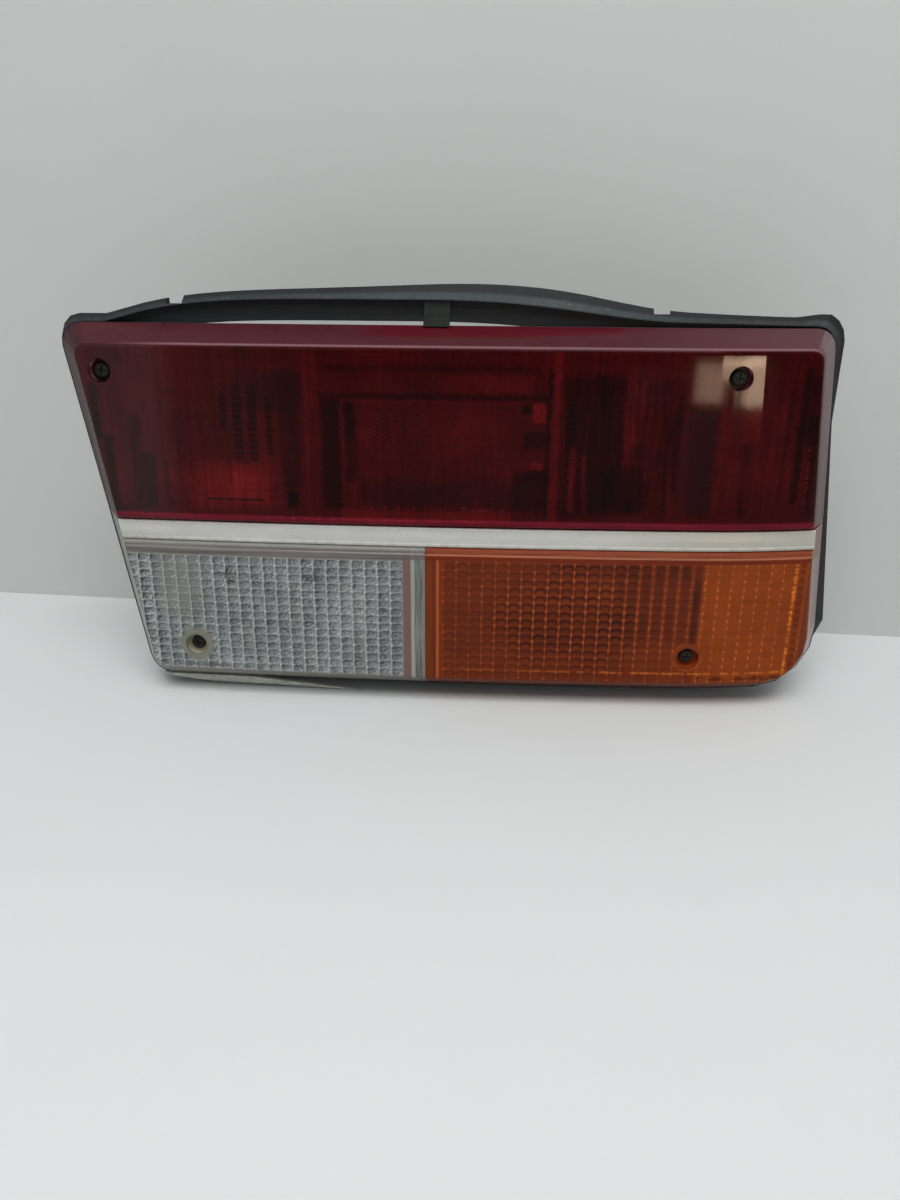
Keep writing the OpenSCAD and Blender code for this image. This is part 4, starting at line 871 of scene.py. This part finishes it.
def stage_material(name, colour):
    """Matt and faintly clouded in front, clear from behind."""
    m = Mat(name, roughness=0.9, specular=0.0)
    cloud = m.noise(120, 2)
    fine = m.noise(1.4, 3, 0.6)
    dark = tuple(c - STAGE_CLOUD for c in colour)
    light = tuple(c + STAGE_CLOUD for c in colour)
    col = m.mix(cloud * 0.6 + fine * 0.4, dark, light)
    m.colour(col)
    geometry = m.node("ShaderNodeNewGeometry")
    clear = m.node("ShaderNodeBsdfTransparent")
    mixer = m.node("ShaderNodeMixShader")
    m.tree.links.new(geometry.outputs["Backfacing"], mixer.inputs[0])
    m.tree.links.new(m.bsdf.outputs[0], mixer.inputs[1])
    m.tree.links.new(clear.outputs[0], mixer.inputs[2])
    m.tree.links.new(mixer.outputs[0], m.out.inputs[0])
    return m


def sheet(name, corners, mat):
    mesh = bpy.data.meshes.new(name)
    mesh.from_pydata(corners, [], [tuple(range(len(corners)))])
    mesh.materials.append(mat.mat)
    obj = bpy.data.objects.new(name, mesh)
    scene.collection.objects.link(obj)


floor_mat = stage_material("floor", FLOOR_COLOUR)
wall_mat = stage_material("backdrop", WALL_COLOUR)
sheet("floor", [
    (-SIZE, -SIZE, FLOOR_Z),
    (SIZE, -SIZE, FLOOR_Z),
    (SIZE, SIZE, FLOOR_Z),
    (-SIZE, SIZE, FLOOR_Z),
], floor_mat)
sheet("backdrop", [
    (-SIZE, WALL_LEFT, FLOOR_Z),
    (SIZE, WALL_RIGHT, FLOOR_Z),
    (SIZE, WALL_RIGHT, SIZE),
    (-SIZE, WALL_LEFT, SIZE),
], wall_mat)

# Light: a pale sky, a large key lamp, and lamps that are seen only as reflections
SKY_STOPS = [(0.0, (0.42, 0.43, 0.44, 1)), (0.8, (1.0, 1.0, 1.0, 1))]
SKY_STRENGTH = 0.52
WHITE = (1, 1, 1)
# Name, place, aim, width and height, power, whether only reflections show it
LAMPS = [
    ("key", (0.05, -1.0, 1.45), (0, 0, 0.05), (1.3, 0.9), 21.8, False),
    # Bright line along the top edge
    ("edge_line", (0.22, -0.55, 1.1), (0.22, -0.05, 0), (1.45, 0.02), 13.0, True),
]
# Four lamps whose reflection on the red lens is a window's: x, z, width, height, power
PANES = [
    (0.436, -0.020, 0.100, 0.060, 0.60),
    (0.622, -0.022, 0.098, 0.078, 1.62),
    (0.530, -0.004, 0.080, 0.030, 0.42),
    (0.560, 0.010, 0.170, 0.012, 0.48),
]
PANE_Y = -1.0
PANE_AIM = (0.135, -0.065, 0.076)
PANE_COLOUR = (1, 0.72, 0.48)


def area_light(name, at, aim, size, power, colour, glossy_only):
    data = bpy.data.lights.new(name, "AREA")
    data.shape = "RECTANGLE"
    data.size, data.size_y = size
    data.energy = power
    data.color = colour
    obj = bpy.data.objects.new(name, data)
    scene.collection.objects.link(obj)
    obj.location = at
    obj.rotation_euler = (Vector(aim) - Vector(at)).to_track_quat("-Z", "Y").to_euler()
    obj.visible_camera = False
    obj.visible_diffuse = not glossy_only


world = bpy.data.worlds.new("world")
scene.world = world
world.use_nodes = True
tree = world.node_tree
background = tree.nodes["Background"]
coord = tree.nodes.new("ShaderNodeTexCoord")
split = tree.nodes.new("ShaderNodeSeparateXYZ")
ramp = tree.nodes.new("ShaderNodeValToRGB")
tree.links.new(coord.outputs["Generated"], split.inputs[0])
tree.links.new(split.outputs[2], ramp.inputs[0])
tree.links.new(ramp.outputs[0], background.inputs[0])
for point, (at, colour) in zip(ramp.color_ramp.elements, SKY_STOPS):
    point.position = at
    point.color = colour
background.inputs[1].default_value = SKY_STRENGTH
for name, at, aim, size, power, glossy_only in LAMPS:
    area_light(name, at, aim, size, power, WHITE, glossy_only)
for i, (x, z, width, height, power) in enumerate(PANES):
    at = (x, PANE_Y, z)
    area_light(f"pane_{i}", at, PANE_AIM, (width, height), power, PANE_COLOUR, True)
